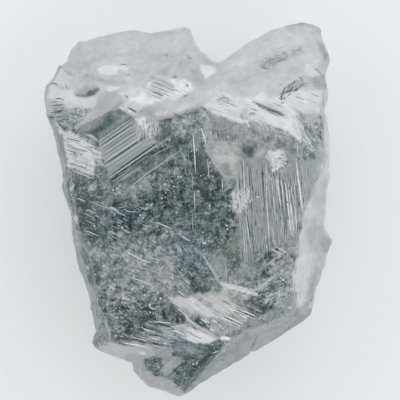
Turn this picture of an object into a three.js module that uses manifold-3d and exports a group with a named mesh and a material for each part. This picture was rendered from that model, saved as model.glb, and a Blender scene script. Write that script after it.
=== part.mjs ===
// A rough diamond: one natural crystal, heart shaped in plan, lying on a broken cleavage face.
// Millimetres, +Z up. X runs across the stone, Y along it towards the two lobes.
// The origin is at the middle of the stone's footprint, on the resting face.
//
// The stone starts as a blank: its outline, pulled in above and below the girdle. Flat crystal
// faces are then carved from the blank, and after them the notch between the lobes, the growth
// terraces, the scooped fractures, the striations and the triangular growth pits.

import * as THREE from 'three';
import { mergeVertices } from 'three/addons/utils/BufferGeometryUtils.js';
import Module from 'manifold-3d';

const wasm = await Module();
wasm.setup();

// Driving dimensions.
const ridgeHeight = 5.35; // resting face to the apex, the highest point
const girdleHeight = 2.6; // resting face to the widest line of the stone
const blankHeight = 5.8; // a little above the apex, so that no face of the blank's top is left
const core = new THREE.Vector3(0, 0, girdleHeight); // a point that every face looks away from
const reach = 30; // side of the block that stands for everything beyond a face

// Outline in plan, clockwise from the left lobe's shoulder.
const outline = [
  [-4.61, 3.61], [-4.55, 3.9], [-4.35, 4.15], [-4.1, 4.6], [-3.9, 4.73], [-3.74, 5.15],
  [-3.49, 5.37], [-3.07, 5.5], [-2.49, 5.65], [-1.82, 5.74], [-1.2, 5.68], [-0.56, 5.79],
  [-0.02, 5.86], [0.1, 5.79], [0.21, 5.44], [0.4, 5.08], [0.66, 4.88], [0.92, 4.7], // notch
  [1.14, 4.76], [1.43, 4.99], [2.04, 5.42], [2.65, 5.76], [3.29, 5.92], [3.61, 6], // right lobe
  [4.03, 5.98], [4.22, 5.82], [4.32, 5.44], [4.51, 5.05], [4.58, 4.76], [4.43, 4.28],
  [4.51, 3.73], [4.45, 3.12], [4.58, 1.9], [4.51, 0.94], [4.4, -0.47], [4.61, -0.99],
  [4.45, -1.69], [4.19, -2.5], [3.97, -3.4], [3.61, -3.69], [2.39, -4.43], [2.07, -4.65],
  [1.2, -5.1], [0.34, -5.61], [0.08, -5.84], [-0.27, -6], [-0.72, -5.84], [-1.2, -5.71], // tip
  [-1.53, -5.45], [-1.75, -5.2], [-1.75, -4.89], [-2.17, -4.78], [-2.84, -4.55], [-3, -4.46],
  [-3.04, -4.2], [-2.97, -3.91], [-3.16, -2.82], [-3.52, -1.69], [-3.68, -0.99],
  [-3.78, -0.09], [-4.03, 0.62], [-4, 1.07], [-4.1, 1.74], [-4.32, 2.51], [-4.51, 3],
];

// The blank's levels: height, the outline's scale there, and how far it is shifted in X and Y.
const levels = [
  { z: 0, scale: 0.74, shift: [0.15, 0.1] },
  { z: 0.9, scale: 0.87, shift: [0.1, 0] },
  { z: 1.9, scale: 0.965, shift: [0, 0.02] },
  { z: girdleHeight, scale: 1, shift: [0, 0] },
  { z: 3.5, scale: 0.985, shift: [0.01, -0.02] },
  { z: 4.4, scale: 0.945, shift: [0.02, -0.06] },
  { z: blankHeight, scale: 0.85, shift: [0.02, -0.1] },
];

// Solids.

function solidOf(geometry) {
  const shape = geometry.clone();
  shape.deleteAttribute('normal');
  shape.deleteAttribute('uv');
  const merged = mergeVertices(shape, 1e-4);
  return new wasm.Manifold(new wasm.Mesh({
    numProp: 3,
    vertProperties: merged.attributes.position.array,
    triVerts: new Uint32Array(merged.index.array),
  }));
}

function geometryOf(solid) {
  const { vertProperties, triVerts } = solid.getMesh();
  const geometry = new THREE.BufferGeometry();
  geometry.setAttribute('position', new THREE.BufferAttribute(vertProperties, 3));
  geometry.setIndex(new THREE.BufferAttribute(triVerts, 1));
  return geometry;
}

// The outline at each level, joined by a wall, with a fan of triangles at the bottom and the top.
function blankSolid() {
  const count = outline.length;
  const points = [];
  for (const { z, scale, shift } of levels) {
    for (const [x, y] of outline) points.push(x * scale + shift[0], y * scale + shift[1], z);
  }
  points.push(0, 0, levels[0].z, 0, 0, levels.at(-1).z);
  const bottomCentre = levels.length * count;
  const topRing = (levels.length - 1) * count;
  const triangles = [];
  for (let i = 0; i < count; i++) {
    const next = (i + 1) % count;
    triangles.push(bottomCentre, i, next);
    triangles.push(bottomCentre + 1, topRing + next, topRing + i);
    for (let ring = 0; ring < topRing; ring += count) {
      const [a, b, c, d] = [ring + i, ring + next, ring + count + next, ring + count + i];
      triangles.push(a, c, b, a, d, c);
    }
  }
  const geometry = new THREE.BufferGeometry();
  geometry.setAttribute('position', new THREE.Float32BufferAttribute(points, 3));
  geometry.setIndex(triangles);
  return solidOf(geometry);
}

// Planes and carving.

// The plane through three points, looking away from the core.
function faceOn(a, b, c) {
  const corners = [a, b, c].map((point) => new THREE.Vector3(...point));
  const plane = new THREE.Plane().setFromCoplanarPoints(...corners);
  return plane.distanceToPoint(core) > 0 ? plane.negate() : plane;
}

// The plane through a point that looks along an azimuth, in degrees anticlockwise from +X,
// and is tipped from facing straight up (0) through upright (90) to facing straight down (180).
function faceLooking(through, azimuth, tip) {
  const around = THREE.MathUtils.degToRad(azimuth);
  const down = THREE.MathUtils.degToRad(tip);
  const normal = new THREE.Vector3(
    Math.sin(down) * Math.cos(around),
    Math.sin(down) * Math.sin(around),
    Math.cos(down),
  );
  return new THREE.Plane().setFromNormalAndCoplanarPoint(normal, new THREE.Vector3(...through));
}

const up = new THREE.Vector3(0, 0, 1);

// Everything beyond a plane, as a block large enough to cover the stone.
function beyond(plane) {
  const block = new THREE.BoxGeometry(reach, reach, reach).translate(0, 0, reach / 2);
  const turn = new THREE.Quaternion().setFromUnitVectors(up, plane.normal);
  const foot = plane.projectPoint(core, new THREE.Vector3());
  block.applyQuaternion(turn).translate(foot.x, foot.y, foot.z);
  return solidOf(block);
}

// What lies beyond all of these planes at once: one plane gives a face, two give a step or notch.
function wedge(...planes) {
  return planes.map(beyond).reduce((left, right) => left.intersect(right));
}

// Flat faces above the girdle.

const apex = [0.34, 3.32, ridgeHeight];
const ridgeFoot = [0.24, -2.7, 5.28]; // lower end of the ridge down the middle of the front
const notchMouth = [0.92, 4.7, 3.3]; // where the valley between the lobes leaves the stone
const notchHead = [0.42, 3.6, 5.12]; // where the valley begins, beside the apex

const upperFaces = {
  frontLeft: faceOn(apex, ridgeFoot, [-3.7, 0, 4.89]),
  frontRight: faceOn(apex, ridgeFoot, [3.6, -0.2, 4.76]),
  lowerLeft: faceOn(ridgeFoot, [-3.3, -1.5, 4.88], [-1.9, -4.4, 4.6]),
  lowerRight: faceOn(ridgeFoot, [3.5, -1.8, 4.72], [2.6, -3.75, 4.45]),
  tip: faceOn([-1.2, -4.4, 4.6], [1.4, -4.2, 4.6], [-0.25, -5.8, 3.6]),
  ridgeRound: faceOn(apex, [-1.5, 2.62, 5.12], [-1.35, 3.1, 5.04]),
  leftBand: faceOn([0.36, 3.45, 5.3], [-1.6, 2.95, 5.04], [-0.6, 4.2, 4.68]),
  leftLobe: faceOn([-2.9, 3.9, 4.4], [0.2, 4.2, 4.68], [-1, 5.74, 2.95]),
  leftSpear: faceOn([-3.5, 2.62, 4.35], [-2.2, 3.75, 4.5], [-3.1, 3.55, 4.2]),
  leftShoulder: faceOn([-4.55, 3.95, 2.8], [-3.9, 4.8, 2.8], [-3.2, 3.6, 4.35]),
  leftTemple: faceOn([-4.55, 3.3, 3.1], [-4.25, 2.35, 3.5], [-3.5, 3, 4.35]),
  leftCheek: faceOn([-2.85, 2.1, 4.78], [-2.7, 1.15, 4.86], [-4.05, 1.9, 3.95]),
  leftRim: faceOn([-4.64, 3.61, 2.8], [-4.05, 0.62, 2.8], [-3.55, 0.5, 4.85]),
  lowerLeftRim: faceOn([-4.05, 0.62, 2.8], [-3.06, -4.3, 2.8], [-3.02, -1.9, 4.75]),
  rightBand: faceOn(apex, [3.61, 2.06, 4.72], [2.65, 3.75, 4.5]),
  rightLobe: faceOn([0.56, 3.75, 5.1], [2.9, 3.75, 4.45], [3.3, 5.97, 2.8]),
  rightTemple: faceOn([4.6, 4.76, 2.9], [4.47, 3.3, 3.3], [3.9, 4.2, 4]),
  rightCorner: faceOn([4.07, 6, 2.85], [4.62, 4.8, 2.85], [3.85, 5, 3.9]),
  rightRim: faceOn([4.42, 1.95, 4.4], [3.45, -1.5, 4.68], [4.58, -1.5, 2.8]),
  rightHeel: faceOn([4.63, -0.99, 2.8], [3.99, -3.4, 2.8], [3.4, -2.6, 4.6]),
  lowerRightBevel: faceOn([3.63, -3.69, 2.65], [-0.27, -6.03, 2.65], [1.3, -4.42, 4.4]),
};

// Flat faces below the girdle, from the right lobe round to the lower right.

const lowerFaces = {
  underRightLobe: faceLooking([4.03, 5.98, 2.5], 62, 125),
  underLeftLobe: faceLooking([-1.8, 5.76, 2.4], 97, 133),
  underLeftCorner: faceLooking([-3.8, 5.1, 2.3], 132, 118),
  underShoulder: faceLooking([-4.6, 3.65, 2.4], 168, 124),
  underLeft: faceLooking([-4.03, 0.62, 2.2], 193, 131),
  underLowerLeft: faceLooking([-3, -4.4, 2.3], 236, 126),
  underTip: faceLooking([-0.27, -6, 2.2], 268, 122),
  underLowerRight: faceLooking([2.07, -4.65, 1.7], 300, 137),
  underHeel: faceLooking([4.3, -2.4, 2.1], 338, 120),
  underRight: faceLooking([4.58, 1.9, 2.3], 356, 139),
};

const faces = { ...upperFaces, ...lowerFaces };

// The notch between the lobes: the left lobe's wall and the right lobe's steep end.

function notch() {
  const leftWall = faceOn(notchMouth, notchHead, [-0.02, 5.86, 2.9]);
  const rightEnd = faceOn(notchMouth, notchHead, [2.6, 5.72, 2.8]);
  return wedge(leftWall, rightEnd);
}

// The step at the lower left: a bevel that stops short of the tip.

function lowerLeftStep() {
  const bevel = faceOn([-2.9, -4.15, 4.3], [-1.3, -4.55, 4.45], [-2.1, -4.88, 2.8]);
  return wedge(bevel, faceLooking([-1.5, -4.7, 4.2], 192, 72));
}

// Growth terraces on the left of the apex: steps that climb down towards the left lobe.

const terraces = {
  direction: 36, // along the steps, degrees anticlockwise from +X
  offsets: [2.3, 2.46, 2.56, 2.75, 2.86, 3.02, 3.14, 3.32], // of each riser from the origin
  stepDepth: 0.055,
  riserTip: 60,
  from: -1.45, // along the steps
  to: 0.95,
  runout: 32, // slope at both ends of a step
};

function terraceSteps() {
  const { direction, from, to, runout } = terraces;
  const along = THREE.MathUtils.degToRad(direction);
  const spot = (distance, offset) => [
    Math.cos(along) * distance - Math.sin(along) * offset,
    Math.sin(along) * distance + Math.cos(along) * offset,
    5,
  ];
  const ends = [
    faceLooking(spot(from, 2.8), direction, runout),
    faceLooking(spot(to, 2.8), direction + 180, runout),
  ];
  const steps = terraces.offsets.map((offset, index) => {
    const tread = upperFaces.frontLeft.clone();
    tread.constant += terraces.stepDepth * (index + 1);
    return wedge(tread, faceLooking(spot(0, offset), direction + 90, terraces.riserTip), ...ends);
  });
  return steps.reduce((left, right) => left.add(right));
}

// Small features are made flat on the XY plane, then turned and laid on a face.

function laidOn(face, geometry, [x, y], turn) {
  const { normal, constant } = face;
  const height = -(constant + normal.x * x + normal.y * y) / normal.z;
  geometry.rotateZ(THREE.MathUtils.degToRad(turn));
  geometry.applyQuaternion(new THREE.Quaternion().setFromUnitVectors(up, normal));
  return solidOf(geometry.translate(x, y, height));
}

// Shells: the shallow bowls of a conchoidal fracture, sized [length, width, depth] where they meet
// the face. One that is wider than its face hollows it from edge to edge. A dip sinks the far end
// and lifts the near end out of the face, which leaves half a shell.

const shells = [
  { face: 'frontRight', at: [1.85, -1.3], turn: -78, size: [2.4, 2.6, 0.1], dip: 7 },
  { face: 'leftShoulder', at: [-3.35, 3.95], turn: -60, size: [1, 1.1, 0.16], dip: 7 },
  { face: 'leftLobe', at: [-2.3, 4.6], turn: -80, size: [0.7, 1.6, 0.1], dip: 8 },
  { face: 'leftLobe', at: [-0.6, 5.4], turn: 10, size: [3.4, 2.2, 0.14], dip: -2 },
  { face: 'rightLobe', at: [2.3, 4.8], turn: -60, size: [1, 2, 0.12], dip: 8 },
  { face: 'rightLobe', at: [3.5, 5.1], turn: 40, size: [3, 2.4, 0.16], dip: 3 },
  { face: 'rightTemple', at: [4.3, 4.1], turn: 95, size: [2.6, 1.8, 0.14], dip: 2 },
  { face: 'rightRim', at: [4.15, 0.2], turn: 95, size: [4.8, 2.6, 0.2], dip: 1 },
  { face: 'rightHeel', at: [3.95, -2.3], turn: 75, size: [3, 2.6, 0.16], dip: 0 },
  { face: 'leftRim', at: [-4, 1.4], turn: 98, size: [4.8, 3, 0.2], dip: 1 },
  { face: 'lowerLeftRim', at: [-3.3, -2], turn: 100, size: [3.8, 2.8, 0.2], dip: -1 },
  { face: 'lowerRightBevel', at: [1.6, -4.5], turn: 30, size: [5, 2.4, 0.18], dip: 1 },
  { face: 'tip', at: [-0.3, -5], turn: 5, size: [3, 2.2, 0.14], dip: 2 },
  { face: 'underLeft', at: [-2.9, -0.4], turn: 100, size: [7, 4, 0.4], dip: 2 },
  { face: 'underShoulder', at: [-3.8, 4], turn: 90, size: [3.4, 3, 0.25], dip: 0 },
  { face: 'underLeftLobe', at: [-1.6, 4.7], turn: 2, size: [5, 3.4, 0.3], dip: -2 },
  { face: 'underRightLobe', at: [3.6, 5], turn: 150, size: [4, 3.4, 0.3], dip: 1 },
  { face: 'underRight', at: [3.5, 1.4], turn: 88, size: [6.4, 4.4, 0.4], dip: -2 },
  { face: 'underLowerRight', at: [2.1, -3.6], turn: 30, size: [5.4, 4, 0.35], dip: 2 },
  { face: 'underTip', at: [-0.4, -5.1], turn: 0, size: [2.8, 3, 0.2], dip: 0 },
];

function shell({ face, at, turn, size: [length, width, depth], dip }) {
  const profile = [0, 0.36, 0.6, 0.8, 1].map((radius, index) => {
    const ripple = (index % 2) * 0.05 * depth;
    return new THREE.Vector2(radius, -depth * (1 - radius ** 2) + ripple);
  });
  const rim = new THREE.Vector2(1.2, 0.44 * depth + 0.08);
  const lid = new THREE.Vector2(0, rim.y + 0.3);
  const bowl = new THREE.LatheGeometry([...profile, rim, lid], 15).rotateX(Math.PI / 2);
  bowl.scale(length / 2, width / 2, 1).rotateY(THREE.MathUtils.degToRad(dip));
  return laidOn(faces[face], bowl, at, turn);
}

// Striations: rows of grooves side by side on one face, pointed at both ends. A row runs from the
// first groove to the last, each given by its two ends in plan, and the lengths sway by a rule.

const striationRows = [
  { // down the right of the front
    face: 'frontRight', first: [[1.5, 1.2], [1.65, -1.65]], last: [[3.62, 1.65], [3.8, 0.3]],
    count: 17, width: 0.055, depth: 0.045,
  },
  { // across the left cheek
    face: 'leftCheek', first: [[-3.85, 2.35], [-2.9, 2.1]], last: [[-3.75, 1.3], [-2.8, 1.15]],
    count: 7, width: 0.055, depth: 0.04,
  },
  { // across the left lobe's band
    face: 'leftBand', first: [[-1.2, 4.15], [-0.35, 3.75]], last: [[-1.35, 3.7], [-0.5, 3.35]],
    count: 6, width: 0.045, depth: 0.035,
  },
  { // along the right lobe's band
    face: 'rightBand', first: [[2.1, 3.5], [3.1, 3.05]], last: [[2.2, 2.95], [3.6, 2.5]],
    count: 5, width: 0.06, depth: 0.04,
  },
  { // lower middle, towards the lower right bevel
    face: 'lowerRight', first: [[0.9, -3.3], [2, -3.75]], last: [[1.6, -2.85], [2.7, -3.3]],
    count: 7, width: 0.06, depth: 0.04,
  },
  { // foot of the lower left face
    face: 'lowerLeft', first: [[-2.3, -3.6], [-0.7, -4.1]], last: [[-1.5, -2.6], [0.1, -3.2]],
    count: 9, width: 0.06, depth: 0.04,
  },
];

const mix = (a, b, share) => a.map((value, axis) => value + (b[axis] - value) * share);

function striations({ face, first, last, count, width, depth }) {
  return Array.from({ length: count }, (_, index) => {
    const share = index / (count - 1);
    const sway = 0.13 * Math.sin(index * 2.4);
    const start = mix(first[0], last[0], share);
    const end = mix(first[1], last[1], share);
    const [dx, dy] = [end[0] - start[0], end[1] - start[1]];
    const length = Math.hypot(dx, dy) * (0.85 + sway);
    const turn = THREE.MathUtils.radToDeg(Math.atan2(dy, dx));
    const middle = mix(start, end, 0.5 - 0.5 * sway);
    return laidOn(faces[face], sliver(length, width, depth, 0), middle, turn);
  });
}

// A cutter that is pointed at both ends. Lean moves its deepest line sideways, towards one wall.

function sliver(length, width, depth, lean) {
  const shear = new THREE.Matrix4().set(1, 0, 0, 0, 0, 1, -lean, 0, 0, 0, 1, 0, 0, 0, 0, 1);
  const stretch = new THREE.Vector3(length / 2, width, depth);
  return new THREE.OctahedronGeometry(1).applyMatrix4(shear).scale(...stretch);
}

// Ledges: steps left where a thin sliver has split off, with a gentle tread and a steep riser.

const ledges = [
  { face: 'frontLeft', at: [-0.7, 0.2], turn: -62, size: [2, 0.3, 0.06] },
  { face: 'frontLeft', at: [-2.4, -0.6], turn: -25, size: [1.6, 0.3, 0.06] },
  { face: 'frontLeft', at: [-1.3, -1.6], turn: -28, size: [1.9, 0.24, 0.05] },
  { face: 'frontRight', at: [1.1, 2.1], turn: -55, size: [1.8, 0.3, 0.06] },
  { face: 'frontRight', at: [2.9, 2.1], turn: 205, size: [1.4, 0.25, 0.05] },
  { face: 'lowerLeft', at: [-0.6, -3.4], turn: -30, size: [2.6, 0.3, 0.1] },
  { face: 'lowerLeft', at: [-1.1, -3.9], turn: -24, size: [2.3, 0.24, 0.08] },
  { face: 'lowerLeft', at: [-2.2, -2.9], turn: -35, size: [1.8, 0.24, 0.07] },
  { face: 'lowerRight', at: [1.5, -3.1], turn: -12, size: [2, 0.3, 0.09] },
  { face: 'lowerRight', at: [1, -3.7], turn: -28, size: [1.6, 0.24, 0.08] },
  { face: 'leftLobe', at: [-1.2, 4.7], turn: 192, size: [2.6, 0.35, 0.1] },
  { face: 'leftLobe', at: [-2.3, 5.1], turn: 206, size: [1.9, 0.3, 0.1] },
  { face: 'leftSpear', at: [-2.9, 3.2], turn: 222, size: [2.2, 0.3, 0.12] },
  { face: 'rightLobe', at: [1.6, 4.3], turn: 204, size: [2, 0.35, 0.1] },
  { face: 'rightBand', at: [2.6, 3.1], turn: -26, size: [1.9, 0.25, 0.12] },
  { face: 'rightBand', at: [3.5, 2.9], turn: -50, size: [1.5, 0.25, 0.1] },
  { face: 'rightRim', at: [3.95, -0.2], turn: 100, size: [1.9, 0.25, 0.08] },
  { face: 'rightHeel', at: [3.8, -2.6], turn: 80, size: [1.3, 0.22, 0.08] },
  { face: 'lowerRightBevel', at: [2.4, -4.1], turn: 30, size: [2.4, 0.3, 0.1] },
  { face: 'tip', at: [0.1, -4.9], turn: 160, size: [1.6, 0.25, 0.08] },
  { face: 'underHeel', at: [3.6, -2.4], turn: 60, size: [2, 0.3, 0.12] },
  { face: 'underShoulder', at: [-4, 3.7], turn: 80, size: [1.8, 0.3, 0.12] },
];

function ledge({ face, at, turn, size: [length, width, depth] }) {
  return laidOn(faces[face], sliver(length, width, depth, 0.8), at, turn);
}

// Triangular growth pits: three-sided points pressed into a face.

const pits = [
  { face: 'frontLeft', at: [-0.8, 1.2], size: 0.2, turn: 10 },
  { face: 'frontLeft', at: [-2.3, 0.1], size: 0.16, turn: 10 },
  { face: 'frontLeft', at: [-1.5, -0.9], size: 0.26, turn: 10 },
  { face: 'frontLeft', at: [-0.5, 0.3], size: 0.12, turn: 10 },
  { face: 'frontRight', at: [1.32, 0.84], size: 0.22, turn: 30 },
  { face: 'frontRight', at: [0.9, -0.4], size: 0.14, turn: 30 },
  { face: 'frontRight', at: [0.75, 1.9], size: 0.18, turn: 30 },
  { face: 'leftLobe', at: [-1.9, 4.6], size: 0.3, turn: 50 },
  { face: 'leftLobe', at: [-0.5, 4.9], size: 0.22, turn: 50 },
  { face: 'lowerLeft', at: [-1.9, -3], size: 0.2, turn: 80 },
  { face: 'rightBand', at: [3.4, 2.9], size: 0.16, turn: 40 },
  { face: 'rightRim', at: [4.05, -0.9], size: 0.24, turn: 15 },
  { face: 'tip', at: [-0.35, -5.05], size: 0.2, turn: 70 },
];

function pit({ face, at, size, turn }) {
  const point = new THREE.ConeGeometry(size * 2, size, 3).rotateX(-Math.PI / 2);
  return laidOn(faces[face], point.translate(0, 0, size * 0.2), at, turn);
}

// The stone.

function diamondSolid() {
  const hollows = [
    ...Object.values(faces).map((face) => wedge(face)),
    notch(),
    lowerLeftStep(),
    terraceSteps(),
    ...shells.map(shell),
    ...ledges.map(ledge),
    ...striationRows.flatMap(striations),
    ...pits.map(pit),
  ];
  return hollows.reduce((stone, hollow) => stone.subtract(hollow), blankSolid());
}

const crystal = new THREE.MeshStandardMaterial({
  name: 'rough diamond',
  color: 0xb9c2c2,
  roughness: 0.3,
  metalness: 0,
});

// The finished solid, with the middle of its footprint brought to the origin.
function centred(geometry) {
  geometry.computeBoundingBox();
  const middle = geometry.boundingBox.getCenter(new THREE.Vector3());
  return geometry.translate(-middle.x, -middle.y, 0);
}

const diamond = new THREE.Mesh(centred(geometryOf(diamondSolid())), crystal);
diamond.name = 'diamond';

const part = new THREE.Group();
part.add(diamond);

export default part;
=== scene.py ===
import math
import bpy
import bmesh
import numpy as np
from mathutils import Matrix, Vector
from mathutils.bvhtree import BVHTree


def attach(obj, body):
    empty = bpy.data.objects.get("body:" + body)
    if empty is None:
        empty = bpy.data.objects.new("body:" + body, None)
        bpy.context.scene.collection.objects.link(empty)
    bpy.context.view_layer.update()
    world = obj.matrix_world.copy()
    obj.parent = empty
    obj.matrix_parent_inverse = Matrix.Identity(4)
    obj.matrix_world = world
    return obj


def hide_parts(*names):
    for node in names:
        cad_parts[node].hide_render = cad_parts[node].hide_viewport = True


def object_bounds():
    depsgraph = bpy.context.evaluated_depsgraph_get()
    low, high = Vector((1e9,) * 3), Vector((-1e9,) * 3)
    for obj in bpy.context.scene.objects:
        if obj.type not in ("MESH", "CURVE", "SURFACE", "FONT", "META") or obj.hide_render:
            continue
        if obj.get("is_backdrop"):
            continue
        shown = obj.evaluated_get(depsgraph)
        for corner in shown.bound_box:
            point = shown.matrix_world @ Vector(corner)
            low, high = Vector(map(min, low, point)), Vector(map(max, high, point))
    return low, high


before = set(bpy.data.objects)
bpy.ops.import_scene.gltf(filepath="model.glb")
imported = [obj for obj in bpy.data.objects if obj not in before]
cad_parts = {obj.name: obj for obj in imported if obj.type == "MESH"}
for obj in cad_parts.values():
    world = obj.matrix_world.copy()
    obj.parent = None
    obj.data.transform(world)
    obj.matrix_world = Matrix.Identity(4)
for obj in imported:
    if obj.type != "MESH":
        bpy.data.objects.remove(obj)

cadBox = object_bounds()
mm = 0.001  # one millimetre in metres; the stone is worked on in millimetres and put back at the end


# Shader helpers

class Wire:
    # a socket that takes part in arithmetic; each operator adds one Math node

    def __init__(self, tree, socket):
        self.tree, self.socket = tree, socket

    def maths(self, operation, *values, clamp=False):
        node = self.tree.nodes.new("ShaderNodeMath")
        node.operation, node.use_clamp = operation, clamp
        for slot, value in zip(node.inputs, values):
            if isinstance(value, Wire):
                self.tree.links.new(value.socket, slot)
            else:
                slot.default_value = value
        return Wire(self.tree, node.outputs[0])

    def __add__(self, other):
        return self.maths("ADD", self, other)

    def __radd__(self, other):
        return self.maths("ADD", other, self)

    def __sub__(self, other):
        return self.maths("SUBTRACT", self, other)

    def __rsub__(self, other):
        return self.maths("SUBTRACT", other, self)

    def __mul__(self, other):
        return self.maths("MULTIPLY", self, other)

    def __rmul__(self, other):
        return self.maths("MULTIPLY", other, self)

    def __pow__(self, other):
        return self.maths("POWER", self, other)

    def clip(self):
        return self.maths("ADD", self, 0.0, clamp=True)


class Shader:
    # one material's node tree; node() makes any node from its type, settings and socket values

    def __init__(self, tree):
        self.tree = tree
        tree.nodes.clear()

    def add(self, kind, settings=None, **values):
        made = self.tree.nodes.new(kind)
        for name, value in (settings or {}).items():
            if name == "stops":
                self.stops(made.color_ramp, value)
            else:
                setattr(made, name, value)
        for name, value in values.items():
            slot = self.slotNamed(made, name)
            if isinstance(value, Wire):
                self.tree.links.new(value.socket, slot)
            else:
                slot.default_value = value
        return made

    def node(self, kind, settings=None, output=0, **values):
        made = self.add(kind, settings, **values)
        usable = [socket for socket in made.outputs if socket.enabled]
        if isinstance(output, str):
            return Wire(self.tree, next(socket for socket in usable if socket.name == output))
        return Wire(self.tree, usable[output]) if usable else None

    def slotNamed(self, made, name):
        spaced = name.replace("_", " ").lower()
        usable = [slot for slot in made.inputs if slot.enabled]
        for slot in usable:
            if slot.name.lower() == spaced:
                return slot
        return made.inputs[int(name[1:])]  # s0, s1: sockets by place, where names repeat

    def stops(self, ramp, stops):
        while len(ramp.elements) < len(stops):
            ramp.elements.new(0.5)
        for element, (place, colour) in zip(ramp.elements, stops):
            element.position, element.color = place, colour

    def attribute(self, name):
        settings = {"attribute_name": name, "attribute_type": "GEOMETRY"}
        return self.node("ShaderNodeAttribute", settings, "Fac")

    def noise(self, at, scale, detail, roughness):
        return self.node("ShaderNodeTexNoise", Vector=at, Scale=scale, Detail=detail, Roughness=roughness)

    def step(self, value, low, high):
        # 0 below low, 1 above high, smooth between
        return self.node("ShaderNodeMapRange", {"interpolation_type": "SMOOTHSTEP"},
                         Value=value, From_Min=low, From_Max=high)

    def blend(self, factor, first, second, how="MIX"):
        settings = {"data_type": "RGBA", "blend_type": how}
        return self.node("ShaderNodeMix", settings, Factor=factor, A=first, B=second)


class NodeGroup(Shader):

    def __init__(self, name, **inputs):
        super().__init__(bpy.data.node_groups.new(name, "GeometryNodeTree"))
        face = self.tree.interface
        face.new_socket("Geometry", in_out="INPUT", socket_type="NodeSocketGeometry")
        self.inputs = {}
        for label, (kind, value) in inputs.items():
            self.inputs[label] = (face.new_socket(label, in_out="INPUT", socket_type=kind).identifier, value)
        face.new_socket("Geometry", in_out="OUTPUT", socket_type="NodeSocketGeometry")
        self.entry = self.tree.nodes.new("NodeGroupInput")

    def given(self, label):
        return Wire(self.tree, self.entry.outputs[label])

    def stored(self, name):
        # a number kept on the points or faces
        return self.node("GeometryNodeInputNamedAttribute", {"data_type": "FLOAT"}, "Attribute", Name=name)

    def chance(self, low, high, seed, kind="FLOAT"):
        settings = {"data_type": kind}
        return self.node("FunctionNodeRandomValue", settings, "Value", Min=low, Max=high, Seed=seed)

    def finish(self, carrier, geometry, material):
        real = self.node("GeometryNodeRealizeInstances", {}, "Geometry", Geometry=geometry)
        coated = self.node("GeometryNodeSetMaterial", {}, "Geometry", Geometry=real, Material=material)
        self.node("NodeGroupOutput", Geometry=coated)
        modifier = carrier.modifiers.new(self.tree.name, "NODES")
        modifier.node_group = self.tree
        for identifier, value in self.inputs.values():
            modifier[identifier] = value
        mesh = meshOf(carrier)
        carrier.modifiers.remove(modifier)
        carrier.data = mesh
        if not mesh.materials:
            mesh.materials.append(material)
        return carrier


def newMaterial(name):
    # a material and the shader that fills it
    material = bpy.data.materials.new(name)
    material.use_nodes = True
    return material, Shader(material.node_tree)


def inScene(name, data):
    # a new object, linked to the scene
    made = bpy.data.objects.new(name, data)
    bpy.context.scene.collection.objects.link(made)
    return made


def meshOf(carrier):
    # a mesh of its own, with the object's modifiers applied
    return bpy.data.meshes.new_from_object(carrier.evaluated_get(bpy.context.evaluated_depsgraph_get()))


def store(mesh, name, values):
    # one number per vertex, kept under a name
    mesh.attributes.new(name, "FLOAT", "POINT").data.foreach_set("value", values)


# Camera, floor and light

studio = {
    "lens": 400.0,  # mm
    "frameWidth": 12.85,  # mm that the frame spans at the stone's girdle
    "aim": (0.40, 0.30, 2.6),  # mm
    "nearClip": 50,  # the camera sees from a fiftieth of its distance
    "farClip": 20,  # up to twenty times its distance
    "floorSize": 0.6,
    "floorGap": 0.004,  # mm
    "floorRoughness": 0.7,
    "floorColour": (0.55, 0.57, 0.58, 1),
    "floorGlow": (0.97, 1.0, 1.0, 1),
    "floorGlowStrength": 0.33,
    "skyStops": [  # by height, from the horizon up to overhead
        (0.0, (0.95, 0.96, 0.97, 1)),
        (0.30, (1.15, 1.15, 1.16, 1)),
        (0.78, (1.35, 1.35, 1.36, 1)),
        (0.90, (0.45, 0.46, 0.48, 1)),
        (1.0, (0.14, 0.15, 0.16, 1)),
    ],
    "skyStrength": 0.93,
    "brightSide": (0.45, 0.89, 0.0),  # the sky is brighter towards here
    "sideContrast": 0.34,
    "softboxPower": 0.020,
    "softboxSize": 0.16,
    "softboxAt": (-0.03, 0.20, 0.17),
}


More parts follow.
